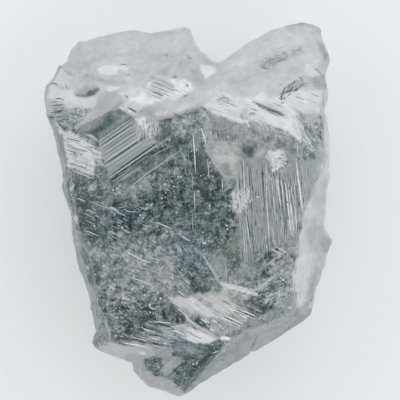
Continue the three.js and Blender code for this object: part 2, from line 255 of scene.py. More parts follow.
def buildStudio():
    scene = bpy.context.scene
    lens = bpy.data.cameras.new("camera")
    lens.lens = studio["lens"]
    camera = inScene("camera", lens)
    distance = studio["frameWidth"] * mm * studio["lens"] / lens.sensor_width
    camera.location = Vector(studio["aim"]) * mm + Vector((0, 0, distance))
    lens.clip_start, lens.clip_end = distance / studio["nearClip"], distance * studio["farClip"]
    scene.camera = camera

    bpy.ops.mesh.primitive_plane_add(size=studio["floorSize"], location=(0, 0, -studio["floorGap"] * mm))
    floor = bpy.context.object
    floor.name = "floor"
    material, shader = newMaterial("floor")
    surface = shader.node("ShaderNodeBsdfPrincipled", Base_Color=studio["floorColour"],
                          Roughness=studio["floorRoughness"], Emission_Color=studio["floorGlow"],
                          Emission_Strength=studio["floorGlowStrength"])
    shader.node("ShaderNodeOutputMaterial", Surface=surface)
    floor.data.materials.append(material)
    floor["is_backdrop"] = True

    world = bpy.data.worlds.new("studio")
    scene.world = world
    world.use_nodes = True
    shader = Shader(world.node_tree)
    direction = shader.node("ShaderNodeTexCoord", output="Generated")
    height = shader.node("ShaderNodeSeparateXYZ", output="Z", Vector=direction)
    sky = shader.node("ShaderNodeValToRGB", {"stops": studio["skyStops"]}, Fac=height)
    side = shader.node("ShaderNodeVectorMath", {"operation": "DOT_PRODUCT"}, "Value",
                       s0=direction, s1=studio["brightSide"])
    light = shader.node("ShaderNodeBackground", Color=sky,
                        Strength=side * studio["sideContrast"] + studio["skyStrength"])
    shader.node("ShaderNodeOutputWorld", Surface=light)

    lamp = bpy.data.lights.new("softbox", "AREA")
    lamp.size, lamp.energy = studio["softboxSize"], studio["softboxPower"]
    box = inScene("softbox", lamp)
    box.location = studio["softboxAt"]
    box.rotation_euler = (-Vector(studio["softboxAt"])).to_track_quat("-Z", "Y").to_euler()
    scene.view_settings.view_transform = "Standard"
    print("studio ready")


# Layout sheet: the stone's plan, 400 steps wide, seen from high above; y runs down

sheet = {
    "step": 0.03213,  # mm
    "zero": (187.5, 209.25),
    "girdle": 2.6,  # height where the steps are true, mm
    "eye": 142.8,  # mm above the girdle
    "centre": (0.40, 0.30),
}


def onSheet(points):
    # the place on the sheet of each point, given in mm
    nearer = 1 - (points[:, 2] - sheet["girdle"]) / sheet["eye"]
    (left, top), (x, y), step = sheet["zero"], sheet["centre"], sheet["step"]
    across = x + (points[:, 0] - x) / nearer
    along = y + (points[:, 1] - y) / nearer
    return np.stack((left + across / step, top - along / step), axis=1)


def spots(text):
    # "96,70 101,66" as places on the sheet, x and y
    return [tuple(float(number) for number in place.split(",")) for place in text.split()]


class Grain:
    # smooth seeded noise, about -1 to 1, on arrays of points

    cells = 32  # the pattern repeats after so many
    plane = 7.3  # where flat points cut through the noise
    shift = 11.7  # between one octave and the next
    gain = 1.6

    def __init__(self, seed):
        self.table = np.random.default_rng(seed).random((self.cells,) * 3) * 2 - 1

    def once(self, points):
        base = np.floor(points).astype(int)
        part = points - base
        part = part * part * (3 - 2 * part)
        total = np.zeros(len(points))
        for corner in range(8):
            shift = np.array(((corner >> 2) & 1, (corner >> 1) & 1, corner & 1))
            weight = np.prod(np.where(shift, part, 1 - part), axis=1)
            place = (base + shift) % self.cells
            total += weight * self.table[place[:, 0], place[:, 1], place[:, 2]]
        return total

    def at(self, points, size, octaves=3):
        # size is the width of the largest lumps
        if points.shape[1] == 2:
            points = np.column_stack((points, np.full(len(points), self.plane)))
        total, weight, weights = np.zeros(len(points)), 1.0, 0.0
        for octave in range(octaves):
            total += weight * self.once(points * (2 ** octave / size) + self.shift * octave)
            weights += weight
            weight *= 0.5
        return total / weights * self.gain


def ramp(value, low, high):
    # 0 below low, 1 above high, smooth between
    part = np.clip((value - low) / (high - low), 0, 1)
    return part * part * (3 - 2 * part)


def alongLine(points, line):
    # distance of each point from a broken line, and how far along it the nearest place is, 0 to 1
    line = np.array(line, float)
    lengths = np.linalg.norm(np.diff(line, axis=0), axis=1)
    best, place, run = np.full(len(points), 1e9), np.zeros(len(points)), 0.0
    for start, end, length in zip(line[:-1], line[1:], lengths):
        way = (end - start) / max(length, 1e-9)
        part = np.clip((points - start) @ way, 0, length)
        gap = np.linalg.norm(points - start - part[:, None] * way, axis=1)
        nearer = gap < best
        best = np.where(nearer, gap, best)
        place = np.where(nearer, (run + part) / lengths.sum(), place)
        run += length
    return best, place


def inside(points, corners):
    corners = np.array(corners, float)
    result = np.zeros(len(points), bool)
    for (x0, y0), (x1, y1) in zip(corners, np.roll(corners, -1, axis=0)):
        if y0 != y1:
            crosses = (y0 > points[:, 1]) != (y1 > points[:, 1])
            result ^= crosses & (points[:, 0] < (x1 - x0) * (points[:, 1] - y0) / (y1 - y0) + x0)
    return result


def fromEdge(points, corners):
    # distance from a closed outline, above 0 inside it
    gap, _ = alongLine(points, corners + [corners[0]])
    return np.where(inside(points, corners), gap, -gap)


def heading(degrees):
    # along and across a direction that falls to the right on the sheet
    angle = math.radians(degrees)
    return np.array((math.cos(angle), math.sin(angle))), np.array((-math.sin(angle), math.cos(angle)))


class Skin:
    # what the stone's surface is like at every vertex

    fields = ("veil", "tone", "warmth", "speck", "streak", "flecks", "bright")
    girdleFade = (1.0, 2.2)  # mm up, where the pattern of the upper side fades in
    strokeFade = (1.6, 2.9)  # the same for strokes
    facingUp = (-0.02, 0.12)  # upward part of the normal, from sides to top
    sideFrom = 3.0  # mm up; uneven edges change with the height below here
    crumbs = 3.2  # width of the finer waves in a patch's edge
    otherPlace = 50  # moves a second reading of the grain away from the first
    fanReach = 50  # sheet steps over which a fan turns by its full angle
    bends = (14, 90)  # how wide and how long the bends of hatched lines are
    cutPlace = 31  # where their breaks are read
    hatchSoft = 1.5
    hatchEdge = (-0.15, 0.25)  # added to the share of a hatch that its lines take
    strokeEdge, blotEdge, granuleEdge = (-0.55, 0.45), (-0.9, 1.1), (-1.2, 1.2)
    strokeWaves, gapWaves, granuleWaves, hatchWaves = 6.0, 5.0, 4.0, 5.0  # widths of uneven edges
    thinning = 0.8  # share of its width that a tapered stroke loses at its ends
    sideways = 0.6  # how much a blot's drop in height counts as distance

    def __init__(self, points, normals):
        self.points, self.normals = points, normals
        self.plan = onSheet(points)
        # places for uneven edges: as on the sheet above, and changing with the height down the sides
        drop = np.maximum(0, self.sideFrom - points[:, 2]) / sheet["step"]
        self.spread = np.column_stack((self.plan, Grain.plane + drop))
        self.grain = Grain(4)
        self.relief = np.zeros(len(points))
        self.value = {name: np.zeros(len(points)) for name in self.fields}
        below = ramp(points[:, 2] + self.grain.at(points, 0.9) * 0.35, *self.girdleFade)
        self.facing = np.maximum(ramp(normals[:, 2], *self.facingUp), below)

    def lay(self, mask, relief=0.0, **wanted):
        # brings in the wanted values as far as the mask says; relief is added, in mm
        for name, value in wanted.items():
            self.value[name] = self.value[name] * (1 - mask) + value * mask
        self.relief += relief * mask

    def layOn(self, chosen, strength, **wanted):
        # the same for some of the vertices only
        mask = np.zeros(len(self.plan))
        mask[chosen] = strength
        self.lay(mask, **wanted)

    def near(self, corners, reach):
        # the vertices around some places on the sheet
        corners = np.array(corners, float)
        low, high = corners.min(axis=0) - reach, corners.max(axis=0) + reach
        return np.where(np.all((self.plan > low) & (self.plan < high), axis=1) & (self.facing > 0.01))[0]

    def patch(self, corners, soft, ragged, size, **wanted):
        # an area with a soft edge of the given raggedness, in waves of the given size
        chosen = self.near(corners, soft + ragged * 2)
        edge = fromEdge(self.plan[chosen], corners) + self.grain.at(self.spread[chosen], size) * ragged
        moved = self.spread[chosen] + (self.otherPlace, self.otherPlace, 0)
        edge += self.grain.at(moved, self.crumbs, 2) * min(0.9, soft * 0.5)
        self.layOn(chosen, ramp(edge, -soft, soft) * self.facing[chosen], **wanted)

    def stroke(self, line, width, taper=1.0, broken=0.0, **wanted):
        # a line that grows thin towards its ends
        chosen = self.near(line, width * 2 + 1)
        points = self.plan[chosen]
        gap, place = alongLine(points, line)
        slim = width * (1 - taper * np.abs(2 * place - 1) ** 2 * self.thinning)
        strength = 1 - broken * ramp(self.grain.at(points, self.gapWaves), -0.3, 0.3)
        height = self.points[chosen, 2] + self.grain.at(points, self.strokeWaves) * 0.4
        strength *= ramp(height, *self.strokeFade)
        self.layOn(chosen, ramp(slim - gap, *self.strokeEdge) * strength * self.facing[chosen], **wanted)

    def blot(self, centre, radius, **wanted):
        # a small round spot with an uneven edge, which doesn't run down a steep side
        chosen = self.near(centre, radius * 2 + 2)
        across = np.linalg.norm(self.plan[chosen] - centre, axis=1)
        height = self.points[chosen, 2]
        drop = height[across < max(1.2, across.min() + 0.1)].max() - height
        gap = np.hypot(across, np.maximum(0, drop) / sheet["step"] * self.sideways)
        gap += self.grain.at(self.plan[chosen], max(2.5, radius)) * radius * 0.8
        self.layOn(chosen, ramp(radius - gap, *self.blotEdge) * self.facing[chosen], **wanted)

    def granules(self, corners, density, brightness):
        # where white crystal grains stand close together
        chosen = self.near(corners, 4)
        points = self.plan[chosen]
        edge = fromEdge(points, corners) + self.grain.at(points, self.granuleWaves) * 2.0
        mask = ramp(edge, *self.granuleEdge) * self.facing[chosen]
        self.value["flecks"][chosen] += mask * density
        self.value["bright"][chosen] = np.maximum(self.value["bright"][chosen], mask * brightness)

    def hatch(self, corners, angle, period, length, relief, dark, light, fan=0, ragged=1.5, share=0.35,
              depth=0.5):
        # fine parallel lines at an angle that falls to the right; fan turns them across the patch
        soft = self.hatchSoft
        chosen = self.near(corners, soft + ragged * 2)
        points = self.plan[chosen]
        centre = np.mean(corners, axis=0)
        offset = points - centre
        turn = np.radians(angle) + np.radians(fan) * (offset @ heading(angle)[1]) / self.fanReach
        along = offset[:, 0] * np.cos(turn) + offset[:, 1] * np.sin(turn)
        across = -offset[:, 0] * np.sin(turn) + offset[:, 1] * np.cos(turn)
        # wander keeps the lines from being ruled; breaks end each one somewhere along its length
        wide, long = self.bends
        wander = self.grain.at(np.stack((across / wide, along / long), axis=1) + centre, 1.0, 2) * 0.9
        cuts = np.stack((across / period * 1.1, along / length), axis=1) + centre + self.cutPlace
        breaks = self.grain.at(cuts, 1.0, 2)
        lines = np.cos(2 * np.pi * (across / period + wander)) * 0.55 + breaks * 0.75
        edge = fromEdge(points, corners) + self.grain.at(points, self.hatchWaves) * ragged
        within = ramp(edge, -soft, soft) * self.facing[chosen]
        low, high = self.hatchEdge
        for look, side in ((light, lines), (dark, -lines)):
            self.layOn(chosen, within * ramp(side, share + low, share + high) * depth, **look)
        self.relief[chosen] += relief * within * lines


# The crystal's surface, region by region, on the layout sheet

looks = {  # veil: how frosted; tone: how light the frost is, which in places carries painted highlights and painted shade; speck and streak: strength of the fine texture
    "frost": {"veil": 0.80, "tone": 0.58, "speck": 0.05, "streak": 0, "warmth": 0},
    "paleFrost": {"veil": 0.82, "tone": 0.61, "speck": 0.04, "streak": 0, "warmth": 0},
    "greyFrost": {"veil": 0.76, "tone": 0.47, "speck": 0.06, "streak": 0},
    "dullFrost": {"veil": 0.74, "tone": 0.38, "speck": 0.12, "streak": 0},
    "white": {"veil": 0.92, "tone": 0.71, "speck": 0.02, "streak": 0, "warmth": 0},
    "cream": {"veil": 0.85, "tone": 0.46, "speck": 0.10, "streak": 0.1, "warmth": 0.35},
    "beige": {"veil": 0.74, "tone": 0.34, "speck": 0.25, "streak": 0.1, "warmth": 0.45},
    "cloud": {"veil": 0.85, "tone": 0.35, "speck": 0.3, "streak": 0, "warmth": 0.12},
    "brown": {"veil": 0.70, "tone": 0.26, "speck": 0.4, "streak": 0, "warmth": 0.9},
    "blue": {"veil": 0.75, "tone": 0.22, "speck": 0.8, "streak": 0, "warmth": -0.7},
    "grey": {"veil": 0.78, "tone": 0.30, "speck": 0.5, "streak": 0},
    "dim": {"veil": 0.78, "tone": 0.16, "speck": 0.8, "streak": 0},
    "dark": {"veil": 0.80, "tone": 0.09, "speck": 0.8, "streak": 0},
    "mark": {"veil": 0.75, "tone": 0.20, "speck": 0, "streak": 0},
    "gleam": {"veil": 0.95, "tone": 0.74, "speck": 0, "streak": 0},
}


def like(look, **changes):
    # a look with some of its values changed
    return {**looks[look], **changes}


patches = [  # look, tone, softness and raggedness of the edge, width of its waves, corners, other changes
    # the two light shoulders at the top
    ("frost", 0.58, 1.5, 0.8, 7, "30,10 345,10 345,120 322,117 305,115 291,112 281,129 262,124 240,122 "
     "215,113 200,106 185,111 165,119 150,121 133,118 120,110 104,113 88,122 76,129 62,124 52,116 40,120"),
    # right rim, lower right bevel, left rim, heel and toe
    ("paleFrost", 0.6, 1.4, 1.8, 4, "322,88 345,88 345,320 300,330 288,321 297,312 293,290 293,270 296,256 "
     "298,240 302,216 307,200 313,187 318,172 322,150"),
    ("dullFrost", 0.38, 1.5, 1.2, 7, "300,312 345,300 345,400 170,402 180,395 190,384 205,366 221,350 "
     "232,336 255,327 286,321"),
    ("dullFrost", 0.4, 1.2, 1.2, 4, "30,118 54,118 61,134 67,158 66.5,180 69,200 74,222 79,240 82,255 "
     "86,267 89,281 94,291 98,304 108,325 111,343 80,350 30,300"),
    ("greyFrost", 0.61, 1.5, 0.8, 7, "86,336 110,343 150,349 163,353 140,360 130,364 100,356 86,350"),
    ("grey", 0.24, 2, 2, 4, "92,334 101,331 109,337 108,345 98,349 92,346", {"speck": 0.6, "veil": 0.85}),
    ("dullFrost", 0.38, 1.5, 1, 7, "128,360 138,372 148,378 165,384 181,396 160,398 130,385"),
    # left shoulder: brow with painted shade, glossy scars with painted highlights, bowl with a painted
    # shadow in its lower wall, and light facets
    # painted shade along the brow ridge
    ("greyFrost", 0.56, 2.5, 2, 7, "70,66 80,62 92,57 100,55 118,54 130,54 112,58 97,60 88,64 78,69"),
    ("greyFrost", 0.51, 1.6, 0.6, 7, "76,69 84,66 90,61 96,57 98,59 91,65 84,69"),
    ("paleFrost", 0.59, 4, 2, 7, "60,60 70,46 84,38 110,33 140,31 150,36 120,42 90,50 76,60"),
    ("greyFrost", 0.53, 4, 2, 7, "150,58 172,50 186,52 192,62 184,70 160,66"),
    # painted highlights: the glossy scars are painted white where they catch the light; their shallow dip is
    # real relief
    ("white", 0.71, 1.5, 0.5, 7, "96,70 101,66 108,64 117,65 120,69 116,74 107,75 100,73",
     {"relief": -0.02}),
    ("white", 0.71, 1.5, 0.5, 7, "118,67 124,65 130,67 129,70 122,71", {"relief": -0.01}),
    ("greyFrost", 0.5, 2, 2, 7, "90,72 100,76 112,79 124,80 128,84 115,87 104,84 92,79"),
    ("paleFrost", 0.61, 1.5, 0.6, 7, "90,79 104,85 118,86 112,91 101,91 97,88 90,87"),
    ("frost", 0.62, 2.5, 2, 7, "66,82 70,75 80,73 88,76 90,82 96,86 100,90 95,96 83,97 75,91 70,88",
     {"relief": -0.03}),
    # painted shadow: the dark crescent along the bowl's lower wall; the small dip of the mark is real relief
    ("greyFrost", 0.49, 2, 2, 7, "74,93 80,89 88,87 97,86 101,89 95,96 83,97"),
    ("mark", 0.26, 0.9, 0.5, 3, "74,93.5 80,93 86,93 90,89.5 97,87 100.5,89 97,92.5 90,95.5 82,96.5 "
     "76,96", {"relief": -0.02, "speck": 0.35}),
    ("mark", 0.1, 1, 0.4, 7, "86,94 89,90.5 95,89 94,93 89,95.5", {"speck": 0.3}),
    ("white", 0.63, 1.5, 0.5, 7, "60,67 68,73 74,75 70,80 66,84 66,88 57,84 54,83"),
    ("white", 0.66, 1.5, 1.4, 4, "50,86 62,88 72,91 76,97 88,98 96,97 98,103 92,109 80,107 70,107 60,101 "
     "48,98"),
    ("greyFrost", 0.49, 1, 0.5, 7, "43,92 50,80 57,68 62,66 60,70 55,79 49,88 46,98 46,106 43,106"),
    ("blue", 0.42, 1.5, 2, 7, "58,108 68,110 80,107 91,109 86,117 79,126 72,132 62,127 52,119 55,112",
     {"veil": 0.78, "warmth": -0.25}),
    ("white", 0.62, 1.5, 1.2, 4, "62,103 74,104 92,104 90,108.5 78,109.5 66,108"),
    ("frost", 0.5, 2, 2, 7, "92,112 100,104 112,100 120,104 108,110 96,116"),
    ("paleFrost", 0.51, 1, 0.4, 7, "76,128 84,121 93,112 98,102 100,93 107,88 118,87 122,93 121,103 "
     "112,109 100,114 88,121", {"relief": 0.03}),
    ("white", 0.71, 1.5, 0.4, 7, "104,90 112,86 120,87 118,90 109,92"),
    ("white", 0.61, 1.5, 2, 7, "120,92 130,88 142,88 152,92 165,100 152,105 142,111 132,107 124,103",
     {"warmth": 0.1}),
    ("greyFrost", 0.48, 2.5, 2, 7, "155,69 163,66 170,70 168,77 158,76"),
    # notch walls, with painted shade along the wall and left of its facet, and a painted highlight on that
    # facet
    # painted shade along the notch wall
    ("greyFrost", 0.56, 1.5, 0.5, 7, "190,30 195,44 200,52 215,63 211,66 198,57 191,46 187,34"),
    # painted highlight on a facet of the notch
    ("white", 0.7, 0.7, 0.3, 3, "200,64.5 208,65 216,68 216,72.5 211,75.5 206,79 203.5,78"),
    # painted shadow left of that facet
    ("greyFrost", 0.48, 3, 2, 7, "192,68 200,68 204,84 196,84 190,76"),
    ("paleFrost", 0.57, 3, 2, 7, "182,80 192,84 200,92 196,102 184,101 180,92"),
    # banded plate between the shoulders, its rounded lip with painted highlights, and the tuft below
    ("white", 0.76, 1.5, 2.2, 5, "126,103 134,98 143,91 148,83 153,81 166,85 172,80 182,79 190,80 193,88 "
     "189,94 178,97 164,101 152,104 144,108 138,112", {"relief": 0.02}),
    ("greyFrost", 0.57, 1.5, 1.5, 4, "150,78 158,75 166,78 172,82 174,90 166,88 152,83"),
    # painted light: a steep face of the plate, painted whiter where it falls in shade
    ("white", 0.8, 1.5, 1, 4, "122,105 132,99 142,97 147,104 139,111 131,112"),
    ("greyFrost", 0.6, 1, 0.6, 7, "134,122 136,113 144,107 155,103.5 170,102 184,101.5 200,100 205,104 "
     "198,110.5 185,114 169,118.5 158,120 146,121", {"relief": 0.05}),
    # painted highlights along the rounded lip
    ("white", 0.74, 1.5, 0.4, 7, "155,113 160,110.5 168,111 166,115 158,116"),
    ("paleFrost", 0.69, 1.5, 0.5, 7, "172,112 180,107 190,103.5 197,103 192,108 180,112"),
    ("cloud", 0.3, 3, 3, 7, "166,119 186,111 200,107 222,113 222,132 202,134 186,134 172,130",
     {"speck": 0.7, "veil": 0.85, "warmth": 0}),
    ("frost", 0.6, 1.6, 1.5, 3, "131,124 140,119 148,119 157,118 158,126 156,134 150,138 144,136 139,131 "
     "133,131"),
    ("white", 0.84, 1.5, 0.8, 4, "131,124 138,119 145,118 148,124 146,133 141,133 134,131"),
    # right shoulder, with painted shade along its top and right edges
    # painted shade along the top edge
    ("greyFrost", 0.47, 2, 2, 7, "285,26 298,20 315,21 323,28 312,27 300,25 290,29"),
    ("paleFrost", 0.59, 4, 2, 7, "222,66 244,56 262,47 268,52 250,64 232,74"),
    ("greyFrost", 0.58, 5, 2, 7, "226,78 250,70 276,74 262,86 240,90 222,88"),
    ("paleFrost", 0.6, 4, 2, 7, "296,52 312,46 318,58 316,70 300,72 292,62"),
    ("greyFrost", 0.47, 2.5, 2.5, 4, "258,66 270,57 286,52 300,47 302,52 284,60 268,70"),
    ("greyFrost", 0.46, 2, 2.5, 4, "278,98 282,90 292,83 304,77 308,84 296,90 284,100"),
    ("white", 0.66, 1.5, 1, 7, "306,64 314,66 322,76 312,77 304,72"),
    # painted shade down the right edge
    ("dullFrost", 0.38, 1.5, 2, 7, "318,42 323,44 329,56 325,60 320,54"),
    ("dullFrost", 0.45, 2.5, 2, 7, "310,80 316,76 325,75 330,90 318,88"),
    ("white", 0.66, 1, 1, 7, "276,40 282,40 283,43 277,43"),
    ("paleFrost", 0.59, 3, 2, 7, "270,42 295,38 310,32 305,45 280,50 268,48"),
    ("white", 0.68, 1.5, 1.6, 4, "203,106 210,100 216,95 226,93 240,98 252,98 262,101 275,97 290,93 305,90 "
     "321,90 321,114 308,113 296,110 300,118 305,128 300,138 292,138 280,129 268,124 256,118 240,122 "
     "226,117", {"relief": 0.006}),
    # painted light: the plate's white carried down over the shadow of its lower ledge
    ("white", 0.72, 1.5, 1.2, 3, "203,106 215,110 226,114 240,118 250,118 248,123 241,125.5 227,120.5 "
     "213,115.5"),
    ("white", 0.7, 1.2, 1.2, 3, "288,112 297,113 303,120 304,130 302,143 297,143 293,132 286,127"),
    ("white", 0.64, 1.5, 0.8, 7, "253,97 262,92 268,93 267,100 258,101"),
    ("frost", 0.54, 2, 2, 7, "217,96 224,94 231,101 226,104 218,102"),
    ("frost", 0.54, 2, 2, 7, "240,110 246,108 252,116 246,121 240,119"),
    ("mark", 0.3, 0.8, 0.2, 7, "252,101 258,102.5 268,107 277,110.5 285,115.5 280,116.5 270,112.5 "
     "261,108", {"relief": -0.05}),
    ("grey", 0.38, 1.5, 2, 4, "293,112 300,117 310,122 320,121 321,129 322,150 320,163 308,162 300,158 "
     "303,146 299,138 306,130 299,120", {"relief": -0.02, "veil": 0.85, "speck": 0.6, "warmth": -0.05}),
    ("grey", 0.27, 3, 2, 4, "300,146 306,144 312,148 320,144 321,156 318,163 308,162 300,158",
     {"veil": 0.85, "speck": 0.5}),
    ("grey", 0.47, 2.5, 1.5, 4, "301,115 311,113.5 321.5,113.5 321,131 313,130",
     {"veil": 0.85, "speck": 0.4}),
    ("dark", 0.09, 1, 0.6, 3, "308.5,154 312.5,152 317,154 318,160 313.5,163 309,160.5", {"speck": 0.2}),
    ("frost", 0.62, 1.2, 0.8, 3, "290,112 297,117 302,127 309,138 315,151 312,152 305,142 299,136 293,126"),
    # right rim: pale inner band, duller outer faces
    ("white", 0.63, 4, 3.5, 7, "296,254 308,256 313,276 306,300 297,306 294,285", {"speck": 0.08}),
    ("paleFrost", 0.64, 3, 2, 7, "306,206 314,196 320,214 308,228 302,226"),
    ("greyFrost", 0.47, 3, 2, 7, "303,184 312,178 315,190 309,202 302,206", {"warmth": 0.35}),
    ("greyFrost", 0.54, 4, 4, 5, "304,222 316,218 329,238 322,262 312,252 305,238", {"warmth": 0.12}),
    ("dullFrost", 0.44, 1.5, 1, 7, "322,236 330,238 330,250 324,254", {"warmth": 0.1}),
    ("greyFrost", 0.47, 3, 3, 4, "308,282 318,262 322,270 312,302 302,314 306,300"),
    ("greyFrost", 0.44, 2, 2, 7, "316,150 322,138 327,152 318,176 312,182"),
    # lower right bevel: a rough upper band and a smoother lower one
    ("greyFrost", 0.44, 3, 3, 5, "300,306 312,300 300,320 280,336 262,344 268,332 286,322"),
    ("grey", 0.36, 1.5, 2, 5, "214,356 224,346 236,338 256,328 286,320 288,325 262,334 246,341 230,352 "
     "216,366", {"veil": 0.8, "speck": 0.3}),
    ("greyFrost", 0.42, 2.5, 1.5, 5, "244,331 256,325 272,321 290,314 303,305 308,312 292,322 270,330 "
     "252,336", {"veil": 0.85}),
    ("greyFrost", 0.46, 2, 3, 5, "246,341 262,334 282,329 268,345 250,356 240,352"),
    ("dullFrost", 0.4, 1.5, 2, 7, "238,356 256,350 262,352 248,362 234,366", {"warmth": 0.2}),
    ("greyFrost", 0.41, 2, 3, 5, "212,366 226,354 238,352 226,366 206,380 204,374"),
    # grey and cream cloud below the right shoulder
    ("cloud", 0.35, 2, 1.5, 7, "204,108 225,118 240,123 258,120 282,130 300,142 303,158 285,165 262,162 "
     "250,162 238,180 229,179 221,173 214,164 209,152 208,140 207,122"),
    ("grey", 0.31, 2, 3, 4, "212,131 222,130 236,133 240,141 224,143 211,140", {"speck": 0.5}),
    ("grey", 0.27, 3, 3, 4, "266,133 280,131 292,134 299,141 297,150 282,147 266,143", {"speck": 0.5}),
    ("beige", 0.46, 4, 2.5, 5, "210,150 216,144 235,141 243,146 244,160 240,176 236,182 229,179 220,172 "
     "212,160", {"veil": 0.88, "speck": 0.15, "warmth": 0.28}),
    ("dim", 0.13, 4.5, 3, 4, "242,145 249,142 255,148 254,157 247,159 241,152",
     {"warmth": 0.3, "speck": 0.4}),
    ("dim", 0.1, 2, 1.5, 3, "247,149 252,148 253,153 249,155", {"speck": 0.3}),
    ("frost", 0.48, 1.5, 1, 7, "252,156 256,152 264,152 262,158 255,160"),
    ("dim", 0.11, 2, 1, 7, "309,154 313,151 317,154 316,160 310,161", {"speck": 0.3, "warmth": 0.1}),
    ("brown", 0.3, 2.5, 1.5, 4, "221,165 228,163 231,170 228,177 223,172", {"speck": 0.2, "veil": 0.8}),
    # flat with upright growth lines
    ("grey", 0.34, 1.5, 1.5, 7, "236,160 262,156 285,166 303,158 318,160 312,190 303,211 299,228 297,241 "
     "285,245 270,250 262,262 250,264 240,262 237,240 233,200 236,180",
     {"veil": 0.85, "speck": 0.12, "warmth": 0.16}),
    ("white", 0.64, 1.2, 3, 3, "267,153 273,151 279,150 286,154 287,160 282,166 279,171 272,170 268,163",
     {"speck": 0}),
    ("white", 0.82, 0.8, 1.8, 2.5, "270,162 275,160 281,164 280,168 277,171 273,171", {"speck": 0}),
    ("white", 0.74, 1, 1.8, 2.5, "272,152 279,151 284,154 281,158 275,157", {"speck": 0}),
    ("white", 0.64, 1.2, 3, 3, "231,191 238,189 250,188 252,196 248,206 240,213 232,208", {"speck": 0}),
    ("white", 0.9, 0.8, 1.2, 2.5, "233,207 241,208 242,212 235,212", {"speck": 0}),
    ("white", 0.76, 1, 1.8, 2.5, "230,192 237,190 240,196 235,201 231,198", {"speck": 0}),
    ("white", 0.7, 1, 1.8, 2.5, "243,191 249,190 250,200 245,204 242,198", {"speck": 0}),
    ("beige", 0.3, 0.8, 0.2, 7, "222,179 234,179 233,186 223,191",
     {"veil": 0.8, "speck": 0.3, "warmth": 0.3}),
    # lower right
    ("grey", 0.34, 3, 4, 7, "250,252 272,247 297,243 293,270 288,284 268,284 256,290 240,286 228,282 "
     "226,262 240,262", {"veil": 0.8, "speck": 0.7}),
    ("dim", 0.16, 3, 4, 7, "258,290 272,281 284,274 290,290 286,304 272,318 262,312 256,304", {"speck": 1}),
    ("grey", 0.38, 3, 4, 7, "264,318 274,302 280,288 292,278 297,312 288,319 270,322 250,328 246,318",
     {"veil": 0.8, "speck": 0.6}),
    ("grey", 0.38, 3, 3, 7, "278,244 296,240 296,254 286,258 276,254", {"veil": 0.8, "speck": 0.6}),
    ("dark", 0.17, 2, 2, 4, "230,262 239,262 238,272 230,274"),
    ("dark", 0.16, 2, 2, 4, "244,277 254,277 257,283 248,283"),
    ("beige", 0.4, 2.5, 2, 4, "240,268 252,266 254,275 243,276"),
    ("dark", 0.13, 2, 2, 4, "262,266 270,266 270,276 261,276"),
    ("dark", 0.09, 2, 2, 4, "262,254 274,252 270,260 262,262"),
    ("dark", 0.09, 2, 2, 4, "268,284 276,284 276,292 268,292"),
    ("cream", 0.58, 3, 3, 7, "204,294 222,290 240,292 250,298 246,309 236,320 222,318 210,312"),
    ("dark", 0.17, 1.5, 3, 4, "242,302 250,298 257,302 256,310 246,309", {"warmth": 0.4, "speck": 1}),
    ("dark", 0.09, 2, 3, 4, "254,294 262,292 266,300 260,303", {"speck": 1}),
    ("dark", 0.09, 1.5, 1.5, 4, "261,306 266,306 266,313 262,314"),
    ("beige", 0.3, 2.5, 2.5, 7, "209,256 222,254 228,262 226,280 218,274"),
    ("beige", 0.24, 3, 3, 7, "232,226 238,240 240,252 232,254 226,240", {"veil": 0.6}),
    # dark glossy flat, terraces and the strips below them
    ("grey", 0.24, 1, 0.4, 7, "74,131 100,116 108,112 113,110 121,111 132,116 132,119 98,141 86,136",
     {"speck": 0.35, "veil": 0.8}),
    ("dark", 0.16, 3, 1.2, 7, "86,133 97,127 103,120 112,114 122,113 124,119 112,127 102,134 97,139",
     {"speck": 0.3, "veil": 0.8}),
    ("dark", 0.15, 3, 1.2, 7, "88,133 97,128 104,121 112,117 113,122 103,132 97,138",
     {"speck": 0.3, "veil": 0.8}),
    ("dark", 0.075, 2, 0.8, 7, "85,132.5 92,129 98,126.5 101,128 100,138 97,140",
     {"speck": 0.2, "veil": 0.92}),
    ("grey", 0.28, 2.5, 1, 7, "113,110 121,111 130,116 122,123 114,122 112,116",
     {"speck": 0.3, "veil": 0.85}),
    ("grey", 0.37, 1, 0.4, 7, "98,141 133,118 140,125 148,137 158,141 130,160 108,177 105,164 100,152",
     {"veil": 0.88, "speck": 0.05}),
    ("blue", 0.37, 0.8, 0.2, 7, "108,176 105.5,164.5 145,137.5 158,141.5",
     {"veil": 0.9, "speck": 0.02, "warmth": -0.3}),
    ("blue", 0.34, 2, 0.5, 7, "108,176 106.5,171 124,160 138,151 142,153 124,165",
     {"veil": 0.9, "speck": 0.02, "warmth": -0.25}),
    ("dim", 0.17, 1.5, 2, 7, "108,180 160,145 172,143 180,150 150,172 125,190 112,190",
     {"warmth": 0.1, "veil": 0.7, "speck": 0.6}),
    ("grey", 0.33, 3, 3, 7, "118,195 126,187 140,178 146,178 143,188 136,196 124,200",
     {"veil": 0.8, "speck": 0.6}),
    ("grey", 0.32, 1.2, 0.8, 7, "138,178 160,163 181,148 184,150 162,167 142,182",
     {"speck": 0.5, "veil": 0.75}),
    ("brown", 0.26, 4, 2, 7, "103,184 118,182 126,190 120,202 106,202",
     {"veil": 0.7, "warmth": 0.5, "speck": 0.7}),
    ("white", 0.74, 1.2, 1.8, 4, "57,124 61,130 72,132 82,138 94,145 100,152 101,158 95,160 95,168 100,174 "
     "93,178 83,173 69,167 67,158 65,146", {"relief": 0.01}),
    ("frost", 0.5, 1.6, 1, 3, "96,158 104,161 105,166 98,168"),
    ("grey", 0.38, 1, 0.6, 7, "82,138 90,139 96,142 95,145 86,142", {"veil": 0.8}),
    ("blue", 0.15, 1.5, 2, 7, "94,169 100,167 107,169 108,178 103,182 96,178",
     {"veil": 0.8, "speck": 0.7, "warmth": -0.3}),
    ("dim", 0.19, 1.5, 1, 7, "66,168 76,170 86,176 94,181 88,184 70,182 64,176",
     {"veil": 0.75, "speck": 0.5}),
